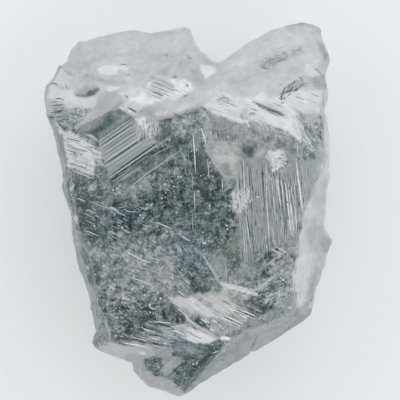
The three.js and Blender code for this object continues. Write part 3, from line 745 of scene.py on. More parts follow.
    # lighter and darker ground of the front
    ("dim", 0.12, 6, 6, 7, "128,202 150,194 168,186 184,180 190,198 190,216 176,222 150,224 128,218",
     {"veil": 0.8, "speck": 0.8, "warmth": 0}),
    ("dim", 0.14, 4, 3, 7, "186,190 198,188 199,236 186,232", {"veil": 0.8, "warmth": -0.5}),
    ("grey", 0.33, 4, 5, 7, "164,228 182,230 192,240 186,250 170,246 162,238", {"veil": 0.8, "speck": 0.8}),
    ("grey", 0.31, 4, 5, 7, "86,244 102,242 106,256 90,260", {"veil": 0.8, "speck": 0.8}),
    ("grey", 0.29, 7, 9, 14, "102,240 140,236 177,245 182,285 150,292 110,288 96,265",
     {"veil": 0.8, "speck": 0.8, "streak": 0.2, "warmth": 0.1}),
    ("grey", 0.38, 5, 6, 7, "120,250 150,256 176,268 182,284 160,288 136,276 118,266",
     {"veil": 0.8, "speck": 0.7, "streak": 0.25, "warmth": 0.1}),
    ("grey", 0.37, 4, 4, 7, "140,274 168,270 188,282 186,294 164,296 146,288",
     {"veil": 0.82, "speck": 0.6}),
    ("blue", 0.23, 5, 5, 7, "162,240 177,235 214,240 208,256 200,268 180,268", {"veil": 0.75}),
    ("blue", 0.11, 5, 5, 7, "78,193 108,203 140,208 140,232 100,234 80,230", {"veil": 0.82, "speck": 0.7}),
    ("dim", 0.12, 4, 4, 7, "199,150 206,160 222,182 235,215 230,250 210,235 203,190 198,165",
     {"streak": 0}),
    ("grey", 0.33, 4, 4, 7, "184,126 194,120 200,121 202,132 201,147 196,151 188,142",
     {"veil": 0.8, "speck": 0.7}),
    ("grey", 0.24, 4, 4, 7, "150,174 158,170 168,168 172,180 162,190 152,188", {"veil": 0.8, "speck": 0.8}),
    ("grey", 0.23, 4, 4, 7, "172,152 190,150 196,166 190,176 176,174", {"veil": 0.8, "speck": 0.8}),
    ("dim", 0.13, 2, 1.5, 7, "196,152 205,153 208,172 198,174", {"speck": 0.3}),
    ("cloud", 0.43, 2.5, 1.5, 4, "203,123 211,124 212,140 211,149 205,150 202,138", {"speck": 0.2}),
    ("dark", 0.09, 3, 3, 7, "88,270 98,268 101,278 94,284 88,280"),
    ("grey", 0.27, 5, 5, 7, "92,286 140,288 166,296 150,304 120,306 108,334 98,318",
     {"speck": 1, "warmth": 0.1}),
    ("dark", 0.14, 3, 4, 7, "150,302 170,306 186,319 185,325 160,324 136,330 122,334 118,318 132,308",
     {"speck": 1}),
    ("grey", 0.22, 3, 3, 7, "121,319 134,319 138,329 124,336", {"veil": 0.9, "speck": 0.9}),
    ("blue", 0.27, 3, 3, 7, "108,312 118,310 123,320 118,330 110,328", {"speck": 1, "warmth": -0.5}),
    ("blue", 0.34, 2.5, 3, 7, "148,322 182,326 190,338 180,346 158,346 146,336", {"veil": 0.75}),
    ("grey", 0.31, 2.5, 3, 7, "156,318 172,318 180,326 174,332 158,330", {"veil": 0.8, "speck": 0.8}),
    ("frost", 0.58, 1.5, 1, 7, "118,341 135,341 152,345 164,349 150,351 130,347"),
    # tip
    ("dim", 0.12, 1.5, 1, 7, "165,345 182,342 205,344 222,350 214,359 204,368 192,384 182,393 170,380 "
     "163,377 168,370 180,361 172,354 160,352", {"veil": 0.85, "speck": 0.7}),
    ("blue", 0.27, 3, 3, 7, "172,345 186,342 200,346 204,352 196,358 184,356 176,351",
     {"veil": 0.85, "speck": 0.5, "warmth": -0.4}),
    ("dark", 0.07, 2, 2, 7, "196,363 206,355 216,350 224,348 214,357 204,368 194,380 184,388 182,376",
     {"veil": 0.85, "speck": 0.6}),
    ("greyFrost", 0.5, 1.2, 1.2, 3, "124,354 145,354 146,366 152,374 161,377.5 172,381 181,389 189,397 "
     "180,402 158,396 126,384", {"speck": 0.12}),
    ("dim", 0.17, 1.5, 1.2, 3, "145,359 150,357 158,357 164,356 167,362 164,372 166,378 156,375 149,370 "
     "145,366", {"veil": 0.85, "speck": 0.8, "warmth": -0.2}),
    ("greyFrost", 0.46, 2, 1.5, 3, "152,346 162,346 170,346 172,352 171,357 165,358 156,357",
     {"speck": 0.25, "warmth": -0.2}),
    ("greyFrost", 0.42, 1.2, 0.9, 3, "163,357 172,355 181,358 184,361 176,367 166,377 162,373",
     {"speck": 0.3}),
    ("frost", 0.52, 1.2, 1, 3, "163,366 168,362 172,360 176,361 169,367 165,374 163,373", {"speck": 0.15}),
    # white feathers at the lower edge
    ("grey", 0.38, 3, 3, 7, "168,294 200,292 240,296 250,306 246,322 236,332 214,338 196,334 184,322",
     {"veil": 0.8}),
    ("white", 0.7, 2, 2, 4, "169,299 178,296.5 188,296 197,300 206,305 214,308 223,313 228,318 222,319 "
     "212,316 204,316 195,312 186,309 180,304 173,302"),
    ("white", 0.6, 2.5, 2.5, 7, "201,297 222,294 234,300 235,308 230,315 220,312 208,304", {"warmth": 0.2}),
    ("white", 0.74, 1.5, 1, 3, "188,297 194,299 197,303 203,310 206,315 198,311 191,306"),
    ("white", 0.85, 1, 1.6, 3, "174,329 180,325 187,324.5 195,329.5 204,333 218,338 214,341 205,343.5 "
     "195,342.5 184,338.5 179,334"),
    ("frost", 0.62, 1, 1.6, 3, "160,326 176,328 185,324 188,328 182,334 164,333"),
    ("dark", 0.12, 1.5, 1.5, 3, "190,317 200,317 211,323 208,329 201,328 193,323", {"veil": 0.9}),
    ("dark", 0.11, 1.5, 1.5, 3, "168,305 176,309 185,314 187.5,320 184,323 174,323.5 164,320 158,312",
     {"veil": 0.85}),
    ("grey", 0.42, 1.5, 1.5, 3, "213,327 222,326 231,331 224,336 214,332", {"warmth": 0.1}),
]

hatches = [  # corners, angle, line spacing, line length, relief, dark lines, light lines, other changes
    ("140,88 152,76 176,79 178,92 165,102 146,98", 27, 3.6, 16, 0.018, like("greyFrost"), like("white"),
     {"ragged": 3}),
    ("61,128 84,137 97,146 104,157 94,172 104,182 78,172 66,168 64,150", 19, 4, 12, 0.022,
     like("dullFrost", tone=0.36), like("gleam"), {"share": 0.32}),
    ("132,122 160,119 160,132 150,142 138,142", 84, 2.6, 9, 0.02, like("dim"), like("gleam")),
    ("203,106 216,95 262,100 305,90 321,92 321,114 296,112 262,122 240,122", 20, 3.6, 14, 0.012,
     like("paleFrost"), like("white")),
    ("236,160 262,157 285,168 303,158 316,162 310,190 300,222 297,241 270,250 262,262 240,262 236,225 "
     "233,200", 84.5, 4.2, 60, 0.004, like("dim", tone=0.26, speck=0.1), like("frost", tone=0.46),
     {"fan": 1.5, "ragged": 2, "depth": 0.25}),
    ("168,297 205,294 240,303 250,314 240,328 215,322 190,318 176,308", 33, 4.5, 22, 0.02, like("frost"),
     like("gleam"), {"depth": 0.5}),
    ("174,324 192,322 216,336 212,346 190,343 176,334", 30, 4, 18, 0.02, like("paleFrost"), like("gleam"),
     {"depth": 0.4}),
    ("148,320 186,326 186,342 160,348 140,340 120,342 118,336", 17, 3.2, 11, 0.02, like("dim"),
     like("frost", tone=0.42)),
    ("58,104 91,108 79,126 66,130 50,116", -8, 3.2, 6, 0.02, like("dim", tone=0.14),
     like("frost", tone=0.44)),
    ("297,122 321,125 321,160 300,160", 50, 4.5, 8, 0.02, like("dark"), like("grey", tone=0.3)),
    ("150,282 175,284 190,298 176,300 160,292", 30, 3, 16, 0.015, like("dim"), like("frost", tone=0.42)),
    ("240,300 262,306 262,318 244,322 232,316", 28, 3.4, 14, 0.02, like("dark"), like("frost", tone=0.5)),
]

strokes = [  # look, width, tone, line, other changes
    # left shoulder
    ("mark", 1, 0.24, "120,65 127,64"), ("mark", 1.2, 0.1, "125,95 128,98"),
    ("mark", 1.25, 0.08, "127,107 132,109.5 138,113"), ("gleam", 2, 0.74, "119,107 127,110.5 136,115"),
    ("mark", 1.25, 0.12, "152,91 158,93.5 164,96"), ("mark", 0.8, 0.42, "150,76 162,81 175,87.5"),
    ("mark", 0.7, 0.42, "149,80 162,85.5 175,91"), ("mark", 0.8, 0.4, "150,84 162,89.5 174,94"),
    ("mark", 0.7, 0.42, "150,88 161,93 172,97"), ("mark", 0.7, 0.46, "144,91 154,95.5 164,99.5"),
    ("gleam", 0.9, 0.74, "152,79 164,85 174,90"), ("gleam", 0.9, 0.74, "151,84 163,89 175,94"),
    ("mark", 1.25, 0.3, "183,96 188,95.5"), ("mark", 1.25, 0.28, "187,84 188,88"),
    ("mark", 1.1, 0.2, "50,84 55,83 58,85"), ("mark", 1, 0.2, "54,99 60,98 65,101"),
    ("mark", 1.2, 0.12, "52,106 57,105 62,105"), ("mark", 1.2, 0.1, "49,113 56,112 62,110"),
    ("mark", 1, 0.1, "57,121 65,122"), ("gleam", 1, 0.74, "54,109 62,107.5"),
    ("gleam", 1, 0.74, "52,116 62,114"), ("mark", 0.8, 0.26, "58,68 63,67"),
    ("mark", 0.9, 0.3, "64,69.5 69,74 74,75.5"), ("mark", 0.9, 0.3, "65,83 67,88 71,91"),
    # cheek
    ("mark", 1.1, 0.2, "66,138 74,140 81,142", {"relief": -0.03}), ("mark", 0.9, 0.24, "66,144 74,146"),
    ("mark", 1, 0.2, "73,147 81,150 89,152", {"relief": -0.02}),
    ("mark", 1.1, 0.14, "67,150 72,151.5 77,154.5"), ("mark", 0.9, 0.24, "68,147 75,149 80,152"),
    ("mark", 1, 0.18, "68,153.5 74,154.5 79,155.5"), ("mark", 0.8, 0.26, "71,156.5 78,158"),
    ("mark", 0.9, 0.2, "66,152 69,156"), ("greyFrost", 1.6, 0.34, "60,136 63,150 66,164", {"broken": 0.3}),
    ("frost", 1, 0.56, "58,141 60,152 63,165"),
    ("greyFrost", 1.6, 0.38, "55,126 59,140 62,156", {"broken": 0.4}),
    ("mark", 0.9, 0.24, "69,162 77,165", {"relief": -0.03}),
    ("mark", 1.2, 0.16, "77,165 86,168", {"relief": -0.03}), ("mark", 0.9, 0.26, "88,148 92,151 95,155"),
    ("mark", 0.8, 0.34, "84,146 90,150"), ("mark", 0.8, 0.24, "86,164 87,170"),
    ("mark", 0.7, 0.4, "70,158 80,161"), ("gleam", 1.1, 0.74, "70,169 82,174 94,179", {"relief": 0.02}),
    ("gleam", 1, 0.74, "57,124 61,128 64,133"),
    # terraces, from the dark facet down
    ("frost", 1.6, 0.5, "86,134 92,137 98,141"), ("gleam", 1, 0.56, "98,142 132,118.5", {"taper": 0.3}),
    ("mark", 0.8, 0.1, "98,143.8 132,120.3", {"taper": 0.3}),
    ("gleam", 0.8, 0.5, "99,145.3 133,121.8", {"taper": 0.3}),
    ("mark", 1, 0.06, "99,147 134,123", {"taper": 0.3}),
    ("gleam", 1, 0.6, "99.5,149 135,124.7", {"taper": 0.3}),
    ("mark", 0.7, 0.16, "100,150.8 136,126.2", {"taper": 0.3}),
    ("gleam", 0.7, 0.44, "100,152.2 136,127.5", {"taper": 0.3}),
    ("mark", 0.7, 0.18, "101,153.6 137,129", {"taper": 0.3}),
    ("gleam", 0.9, 0.54, "101,155.3 138,130.5", {"taper": 0.3}),
    ("mark", 0.7, 0.14, "102,157 139,132.2", {"taper": 0.3}),
    ("gleam", 0.8, 0.48, "102,158.6 140,133.5", {"taper": 0.3}),
    ("mark", 0.6, 0.2, "103,160 141,134.8", {"taper": 0.3}),
    ("gleam", 1.2, 0.66, "104,162 143,136", {"taper": 0.3}),
    ("mark", 1.25, 0.03, "105,164 125,150.5 145,137", {"taper": 0.3}),
    ("gleam", 0.8, 0.56, "106,166.5 147,138.5", {"taper": 0.3}),
    ("mark", 0.6, 0.26, "106.5,168.5 149,139.8", {"taper": 0.3}),
    ("gleam", 0.6, 0.46, "107,170.3 151,140.8", {"taper": 0.3}),
    ("mark", 0.6, 0.24, "107.5,172.2 153,141.6", {"taper": 0.3}),
    ("gleam", 0.6, 0.44, "108,174 155,142.2", {"taper": 0.3}),
    ("mark", 1.2, 0.03, "110,175.5 134,159 158,142", {"taper": 0.3}),
    ("gleam", 1.1, 0.62, "110,177.3 160,143", {"taper": 0.3}),
    ("mark", 1, 0.05, "111,179.2 162,144.5", {"taper": 0.3}),
    ("grey", 0.8, 0.44, "111,180.7 150,154", {"taper": 0.4}),
    ("grey", 1, 0.44, "112,182 134,167", {"taper": 0.4}),
    ("mark", 1, 0.05, "108,182 128,170", {"taper": 0.4}),
    ("grey", 1, 0.5, "116,182.5 138,167.5", {"taper": 0.4}),
    ("grey", 1, 0.46, "121,181 141,167", {"taper": 0.4}),
    ("mark", 1, 0.05, "148,156 168,145", {"taper": 0.4}),
    ("grey", 0.9, 0.44, "150,157 172,145", {"taper": 0.4}),
    ("frost", 1.2, 0.5, "123,192 142,178 162,163 182,149", {"taper": 0.5}),
    ("mark", 1, 0.04, "142,178.5 155,169.5", {"taper": 0.6}),
    ("mark", 0.8, 0.1, "128,186 138,179", {"taper": 0.6}),
    ("frost", 1.1, 0.56, "75,129.5 88,122 100,116 108,111.5", {"relief": 0.02, "taper": 0.4}),
    ("grey", 0.8, 0.34, "78,132 100,119 106,115", {"taper": 0.4}),
    # left front
    ("frost", 1.5, 0.36, "93,202 104,207 115,211 125,215", {"broken": 0.7, "taper": 0.8}),
    ("frost", 1, 0.56, "92,201 98,204 105,208"), ("frost", 1, 0.8, "109,206.5 115,208.5 119,212"),
    ("frost", 1.2, 0.5, "109,208 114,209 118,211"), ("frost", 0.9, 0.6, "115,211.5 121,213.5 126,216.5"),
    ("frost", 1, 0.5, "104,205.5 110,209"), ("frost", 1.1, 0.6, "75,198 80,199 85,201"),
    ("frost", 1, 0.5, "73,202 79,204"), ("frost", 1.2, 0.62, "86,210 89,210 93,213"),
    ("frost", 1.1, 0.55, "95,215 101,218"), ("frost", 1, 0.55, "108,220 114,222"),
    ("frost", 1.2, 0.68, "84,230.5 90,232 96,235"), ("frost", 1.2, 0.6, "79,237 82,238 86,240"),
    ("frost", 1.1, 0.58, "121,228 127,232 130,233"), ("frost", 1, 0.4, "118,208 127,206"),
    ("frost", 1, 0.42, "126,211 138,212"), ("frost", 1.25, 0.66, "156,222 163,225 172,229"),
    ("frost", 1.25, 0.66, "181,235 186,239 191,241"), ("frost", 1.25, 0.72, "129,253 140,259 151,263"),
    ("frost", 1.1, 0.62, "145,255 153,258 161,261"), ("frost", 1, 0.52, "161,259 168,262.5"),
    ("frost", 1.1, 0.62, "170,265 176,268.5"), ("frost", 1.1, 0.56, "180,276 186,281 191,285"),
    ("frost", 0.9, 0.46, "177,270 182,274"), ("frost", 1.2, 0.66, "128,276 140,280.5 152,285"),
    ("frost", 1, 0.5, "154,285 160,288"), ("frost", 1.1, 0.58, "166,286 173,290"),
    ("frost", 1.1, 0.66, "177,290 186,297"), ("frost", 1, 0.54, "164,293 170,297"),
    ("frost", 0.9, 0.5, "174,284 181,289"), ("frost", 1.25, 0.7, "119,301 127,303.5"),
    ("gleam", 1.25, 0.86, "148,306 154.5,310"), ("frost", 1, 0.52, "174,243 179,248 182,253"),
    ("frost", 1, 0.5, "180,272 190,284"),
    ("greyFrost", 1.8, 0.45, "105,319 107,327 110,337 110,342", {"taper": 0.5}),
    ("greyFrost", 1, 0.46, "88,281 94,291 98,304 107,322", {"taper": 0.5}),
    ("gleam", 1.25, 0.9, "123,343 138,345 149,348"),
    ("gleam", 1.5, 0.8, "139.5,352.5 145,353.6", {"taper": 0.7}),
    ("gleam", 1.25, 0.86, "142.5,328.3 146,329.5 149.5,331.5"),
    ("frost", 1.2, 0.68, "129.3,336.7 137.3,338.3"), ("frost", 1.2, 0.7, "140,332 145.5,333.3"),
    ("gleam", 1.25, 0.8, "153,319.8 155,321.5 160,321.7 165,322.7 169,323 173,324.7"),
    ("mark", 1.25, 0.04, "152,324.7 160,323.5 167,325.3 175,326.9"),
    ("mark", 1.2, 0.05, "166,328.5 171,330.7"), ("mark", 1.3, 0.05, "149,334.7 156,335.3 164,336.9"),
    ("frost", 1.2, 0.74, "151,337.7 159.5,339.7"), ("mark", 1.2, 0.06, "150.5,342.5 160,344"),
    ("mark", 1.1, 0.06, "156,331.7 160,332.3"), ("frost", 1.2, 0.78, "133,304 133.5,308.5"),
    ("frost", 1.1, 0.78, "139,303 139.5,306"), ("frost", 1.1, 0.7, "134,310 136,311.6 138,310"),
    ("mark", 1.1, 0.04, "149,309 154.5,311.5"), ("frost", 1.1, 0.78, "158.3,310 159.5,312.7 160.6,309.5"),
    ("frost", 1.1, 0.56, "110,316 116,312.5"), ("frost", 1.2, 0.82, "120.5,316 123.5,318.7"),
    ("frost", 1.1, 0.66, "115,317 118,319.5"), ("frost", 1.2, 0.7, "115,336.5 117,334"),
    ("frost", 1, 0.62, "178.5,318.5 181.5,320"), ("frost", 1, 0.56, "174,320 176,318.5"),
    ("mark", 1.2, 0.03, "117,318.5 121,321"), ("mark", 1.1, 0.03, "114,330 118,331"),
    # upright lines of the middle
    ("gleam", 1.25, 0.78, "193,134 194.5,153 195.5,172"), ("frost", 1, 0.6, "194,190 195,211"),
    ("frost", 0.9, 0.5, "192,175 193,188"), ("frost", 0.8, 0.44, "184,154 185.5,172"),
    ("frost", 0.9, 0.45, "192,214 193,230"), ("gleam", 1.25, 0.86, "201,128 203,134 205,141"),
    ("gleam", 1.1, 0.76, "203,132 204.5,138 206,147"),
    ("frost", 1.4, 0.52, "201,109 204,113 207.5,117.5 209,123"),
    ("frost", 1, 0.54, "207.5,158 208,166 209,178"),
    ("frost", 1.4, 0.45, "206,146 210,156 215,165 222,174 228,180", {"taper": 0.5}),
    ("frost", 0.9, 0.42, "208.5,120 208.5,134 207,146", {"taper": 0.5}),
    ("frost", 1, 0.62, "222,180 222.5,192", {"taper": 0.2}),
    ("frost", 0.9, 0.56, "222.5,192 232,186", {"taper": 0.2}), ("mark", 1, 0.3, "184,188 196,193"),
    ("frost", 1.2, 0.34, "157,170 165,172 174,171"), ("frost", 1.1, 0.46, "163,188 171,191"),
    ("frost", 1, 0.46, "164,192 168,188"),
    # right shoulder
    ("mark", 0.9, 0.2, "260,68 264,67 267,69"), ("mark", 0.9, 0.24, "265,64 270,60 275,58"),
    ("mark", 0.9, 0.22, "274,62 280,61 286,58"), ("mark", 1, 0.12, "281,101 282,95 284,89"),
    ("mark", 1.1, 0.12, "278,98 284,100"), ("mark", 1.2, 0.12, "285,93 290,90 294,86"),
    ("mark", 1, 0.14, "288,92 297,89 303,85 307,87"), ("mark", 0.9, 0.18, "286,87 292,84 296,79"),
    ("mark", 0.9, 0.14, "280,104 284,102"), ("mark", 0.8, 0.3, "278,86 283,83"),
    ("gleam", 1, 0.74, "284,97 291,92"), ("mark", 1, 0.18, "249,115 252,112 256,114"),
    ("mark", 0.9, 0.2, "251,113 255,116"), ("mark", 1, 0.24, "242,112 241,117 244,120"),
    ("mark", 0.9, 0.24, "246,117 248,119"), ("mark", 0.9, 0.28, "217,102 221,98 226,97 229,101"),
    ("mark", 0.9, 0.34, "219,105 224,103"), ("mark", 1.1, 0.08, "252,101.5 260,105 270,109.5"),
    ("mark", 1.1, 0.1, "268,109 277,112.5 284,116"), ("gleam", 1.1, 0.9, "255,100 268,105.5 280,111"),
    ("frost", 1.25, 0.8, "245,119 248,124 249,128"),
    ("frost", 1.2, 0.74, "250,118 257,121 262,125 264,130"), ("frost", 1.1, 0.7, "262,121 266,127 269,131"),
    ("frost", 1.1, 0.66, "270,126 277,133"), ("frost", 1, 0.5, "255,123 260,132"),
    ("white", 1.25, 0.84, "295,119 298,128 300,136 301,143"),
    ("white", 1.25, 0.76, "304,133 308,140 311,147"), ("frost", 1.1, 0.7, "307,147 315,151"),
    ("greyFrost", 1, 0.42, "329,152 326,160 322,171"), ("frost", 1, 0.6, "297,145 298,158"),
    ("mark", 1.25, 0.06, "296.5,156 300,160"), ("greyFrost", 1, 0.4, "323,88 324,120 323,150 318,172"),
    ("greyFrost", 1.2, 0.47, "327,68 327,82 328,92"),
    ("greyFrost", 1, 0.42, "321.5,102 321,120 321.5,136 324,148 327,153"),
    ("mark", 1, 0.34, "311,66 318,71 324,77"), ("gleam", 1, 0.74, "312,64 319,69 325,75"),
    ("gleam", 1.1, 0.74, "309,57 314,60"), ("mark", 0.9, 0.4, "286,37 292,39"),
    ("mark", 0.9, 0.44, "277,49 283,46"),
    # upright growth lines that stand out
    ("gleam", 1.1, 0.84, "277,175.5 278.7,192 281,209"),
    ("gleam", 1.1, 0.86, "280.8,180.5 282,188 283.2,195"),
    ("gleam", 1.2, 0.92, "284.5,177 288,207 291.5,238"),
    ("gleam", 1.15, 0.9, "287.5,179 291,208 294.3,237"), ("gleam", 1, 0.62, "290.5,183 292,195 293.5,206"),
    ("gleam", 1.05, 0.8, "294.3,205 295.7,218 297.2,232"),
    ("gleam", 1.2, 0.96, "296,159.5 299,185 302.8,212"), ("mark", 0.9, 0.1, "283.4,178 284,182"),
    ("mark", 0.9, 0.1, "284.2,186 284.8,194"), ("mark", 0.9, 0.1, "289,186 289.8,191"),
    ("mark", 0.9, 0.12, "290.3,196 291.2,206"), ("mark", 0.9, 0.1, "292.3,189 293.3,196"),
    ("mark", 1, 0.1, "297.3,221 298,231"), ("mark", 1, 0.12, "289.4,229 290.2,238"),
    ("mark", 0.9, 0.14, "291.6,214 292.8,224"),
    ("gleam", 1.1, 0.72, "265.5,162 267,205 269.5,248", {"taper": 0.4}),
    ("gleam", 1.1, 0.78, "245.5,212 248,231 250.5,250", {"taper": 0.4}),
    ("gleam", 1, 0.7, "237,177 238.5,196 240,216", {"taper": 0.4}),
    ("gleam", 1, 0.76, "243,159 244,184 246,210", {"taper": 0.4}), ("mark", 0.9, 0.12, "280,214 280.8,226"),
    ("mark", 0.9, 0.1, "284,226 285,238"), ("mark", 1.1, 0.08, "262,165 263.5,190", {"taper": 0.6}),
    ("mark", 1, 0.06, "247,214 250,238", {"taper": 0.6}), ("mark", 1.25, 0.14, "273,172 275,180"),
    ("gleam", 1.25, 0.95, "256,197 260.5,196.5"),
    # lower right
    ("frost", 1.1, 0.68, "204,257 210,267 215,276 220,285", {"taper": 0.4}),
    ("mark", 0.9, 0.1, "206,264 212,275"), ("frost", 0.9, 0.5, "207,259 213,269 219,280"),
    ("gleam", 2.4, 0.6, "221,284 228,286 240,288.5 250,291.5 256,294", {"relief": 0.03, "taper": 0.6}),
    ("gleam", 1.5, 0.86, "224,285 236,288.5 246,291.5 257,295", {"taper": 0.5}),
    ("frost", 2, 0.48, "246,291 254,290.5 262,287 270,280 277,274", {"relief": 0.01, "warmth": -0.1}),
    ("frost", 1, 0.66, "256,289.5 264,284 271,278 279,271.5"),
    ("frost", 0.9, 0.54, "225,260 226,272 226.5,284"), ("frost", 1.1, 0.7, "270,249 276,251.5 283,254"),
    ("frost", 1.1, 0.7, "275,246 281,249.5 288,254"), ("frost", 1.1, 0.62, "265,266 276,258 290,248"),
    ("mark", 1, 0.06, "275,262 284,256"), ("gleam", 1.25, 0.94, "233,309.5 244,314 255,319"),
    ("gleam", 1.2, 0.9, "239,309.5 247,312.5 256,316"),
    ("mark", 1.25, 0.04, "236,309.5 246,313.5 255,317.5"),
    ("gleam", 1.25, 0.94, "220,317 231,321.5 242,326"),
    ("gleam", 1.2, 0.9, "227,316.5 235,320.5 243,324.5"), ("mark", 1.2, 0.05, "224,317 234,321.5 242,325"),
    ("gleam", 1.9, 0.86, "222,338 229,338.5", {"relief": 0.01, "taper": 0.2}),
    ("frost", 1.7, 0.56, "184,313 188.5,320.5 196,325.5 204,330 212,335 219,338", {"taper": 0.6}),
    ("gleam", 1.2, 0.8, "185,314.5 189,320 196,325"), ("gleam", 1.2, 0.84, "200.5,318 204.5,322 209,327"),
    ("gleam", 1.1, 0.8, "204,319 207,321 209,323.5"), ("gleam", 1.2, 0.8, "211,319 214,320.5 217.5,323.5"),
    ("frost", 1.1, 0.7, "208.5,327 210,329 212,332"), ("mark", 1.3, 0.04, "195,320 199,324 203,327"),
    ("mark", 1.25, 0.04, "203,321 206,324 210,326"), ("mark", 1.2, 0.1, "191,325.5 194,328 197,330"),
    ("mark", 1.1, 0.08, "209,318 213,319.5"), ("gleam", 1.3, 0.64, "201,297 208,299 215,300.5"),
    ("gleam", 1.2, 0.8, "187,298 191,300 195,304"), ("gleam", 1.2, 0.8, "191,306 195,308.5 199,311"),
    ("frost", 1.2, 0.72, "202,311 205,314 207,317.5"), ("gleam", 1.1, 0.66, "212,306 218,309.5 224,314"),
    ("gleam", 1.1, 0.72, "170,298 178,299 184,303"), ("gleam", 1.3, 0.66, "168,325.5 175.5,327 185,324"),
    ("gleam", 1.25, 0.8, "168,331 174,331 181,332.5"), ("mark", 1.1, 0.06, "170,329 176,329.5"),
    ("mark", 0.9, 0.4, "186,330 196,336 202,339"), ("gleam", 1.2, 0.9, "183,330 192,335 203,341"),
    ("gleam", 1.1, 0.76, "197,329 208,335 218,339.5"), ("frost", 1.2, 0.84, "211,353.5 219,350.5"),
    ("frost", 1.1, 0.84, "222,351 226,350"), ("frost", 1, 0.5, "170,345 173,352"),
    ("frost", 1, 0.56, "163,377 167,368 173,366"), ("mark", 1.9, 0.05, "188,374 198,365 206,358 214,352"),
    ("frost", 1, 0.52, "158,375.5 168,379 180,388"), ("mark", 1.2, 0.2, "147.5,362.5 148.5,364"),
    # bevel and rim
    ("greyFrost", 1.9, 0.45, "243,332 256,328 272,324 290,318", {"taper": 0.6}),
    ("greyFrost", 1.6, 0.44, "243,332 237,338 232,346"),
    ("greyFrost", 1.6, 0.37, "257,335 255,343 251,349"),
    ("frost", 1, 0.68, "296,262 294,276 293,290 297,304"),
    ("greyFrost", 1, 0.44, "315,278 312,290 310,300"), ("greyFrost", 1, 0.48, "305,300 310,290 313,276"),
    ("greyFrost", 1, 0.46, "300,240 298,252 297,262"),
]

blots = [  # look, radius, tone, centre, other changes
    ("mark", 1.3, 0.38, "136,87"), ("mark", 1.4, 0.4, "152,77"), ("mark", 2.2, 0.33, "175,76"),
    ("mark", 2.4, 0.36, "190,57"), ("mark", 1.4, 0.36, "189,61"), ("mark", 1.8, 0.4, "166,55"),
    ("mark", 1.3, 0.42, "181,63"), ("mark", 1.5, 0.4, "128,75"), ("mark", 1.1, 0.38, "187,86"),
    ("mark", 1.5, 0.42, "185,96"), ("mark", 1.3, 0.34, "188,55"), ("mark", 1.2, 0.4, "192,58"),
    ("mark", 1, 0.42, "171,56"), ("frost", 3.5, 0.5, "269,179"), ("frost", 3.2, 0.5, "92,187"),
    ("frost", 3.5, 0.62, "70,188"), ("frost", 3.5, 0.62, "74,219"), ("frost", 3, 0.56, "77,245"),
    ("frost", 2.5, 0.58, "86,268"), ("frost", 3, 0.42, "120,235"),
    ("dark", 8, 0.09, "229,221", {"warmth": 0.3}), ("dark", 6, 0.12, "95,275"),
    ("mark", 1.6, 0.1, "251,299"), ("mark", 1.4, 0.08, "246,303"),
]

granules = [  # corners, how dense the grains stand, how bright they are
    ("267,153 272,151 279,150 286,153 287,161 285,168 279,171 272,171 267,163", 6, 0.4),
    ("230,193 236,189 246,187 252,191 252,202 248,210 238,213 231,208", 6, 0.4),
    ("266,176 272,176 272,185 266,185", 6, 0.3), ("88,183 95,183 95,190 89,190", 10, 0.5),
    ("111,185 123,186 124,192 112,198", 5, 0.35), ("196,241 219,236 221,240 198,245", 6, 0.3),
    ("276,264 288,258 289,280 276,288 268,284", 5, 0.2),
    ("300,118 320,122 320,146 312,148 306,134", 4, 0.15), ("68,110 86,110 80,124 66,126", 3, 0.15),
    ("98,166 107,169 107,178 98,178", 5, 0.2), ("108,314 118,314 121,326 112,328", 5, 0.2),
    ("128,300 160,304 166,312 130,312", 2.5, 0.25), ("148,360 158,358 158,374 150,372", 4, 0.2),
    ("176,372 188,372 188,380 178,380", 6, 0.3), ("188,361 200,360 199,370 188,370", 6, 0.3),
    ("207,131 214,132 213,144 208,142", 3, 0.1), ("160,166 186,160 186,186 160,190", 2.5, 0.2),
]

knobs = [  # x and y, reach, height in mm: bumps and dents of the outline
    (321, 28, 10, 0.13), (303, 22, 9, 0.04), (324, 44, 6, 0.02), (329, 60, 8, 0.02), (324, 110, 14, -0.08),
    (329, 178, 14, 0.05), (326, 228, 7, -0.03), (331, 241, 7, 0.05), (327, 258, 6, -0.02),
    (326, 266, 6, 0.04), (316, 291, 14, -0.06), (240, 363, 7, 0.06), (252, 354, 4, -0.07),
    (259, 352, 5, 0.05), (229, 368, 7, 0.04), (212, 377, 5, -0.03), (146, 386, 10, 0.05),
    (128, 361, 5, 0.03), (93, 342, 7, 0.05), (94, 331, 4, -0.04), (90, 308, 6, 0.03), (80, 270, 7, 0.04),
    (70, 218, 6, -0.02), (61, 186, 7, 0.04), (57, 153, 7, 0.03), (46, 114, 6, 0.03), (43, 97, 4, -0.02),
    (47, 85, 5, 0.03), (53, 77, 4, -0.03), (58, 67, 5, 0.04), (65, 60, 5, -0.04), (79, 41, 6, 0.05),
    (86, 40, 4, -0.03), (98, 35, 6, 0.03), (137, 30, 8, 0.02), (151, 32, 5, -0.02), (184, 27, 5, 0.03),
    (205, 55, 6, 0.03), (216, 61, 5, 0.02), (247, 44, 6, 0.03), (256, 37, 5, -0.02),
]

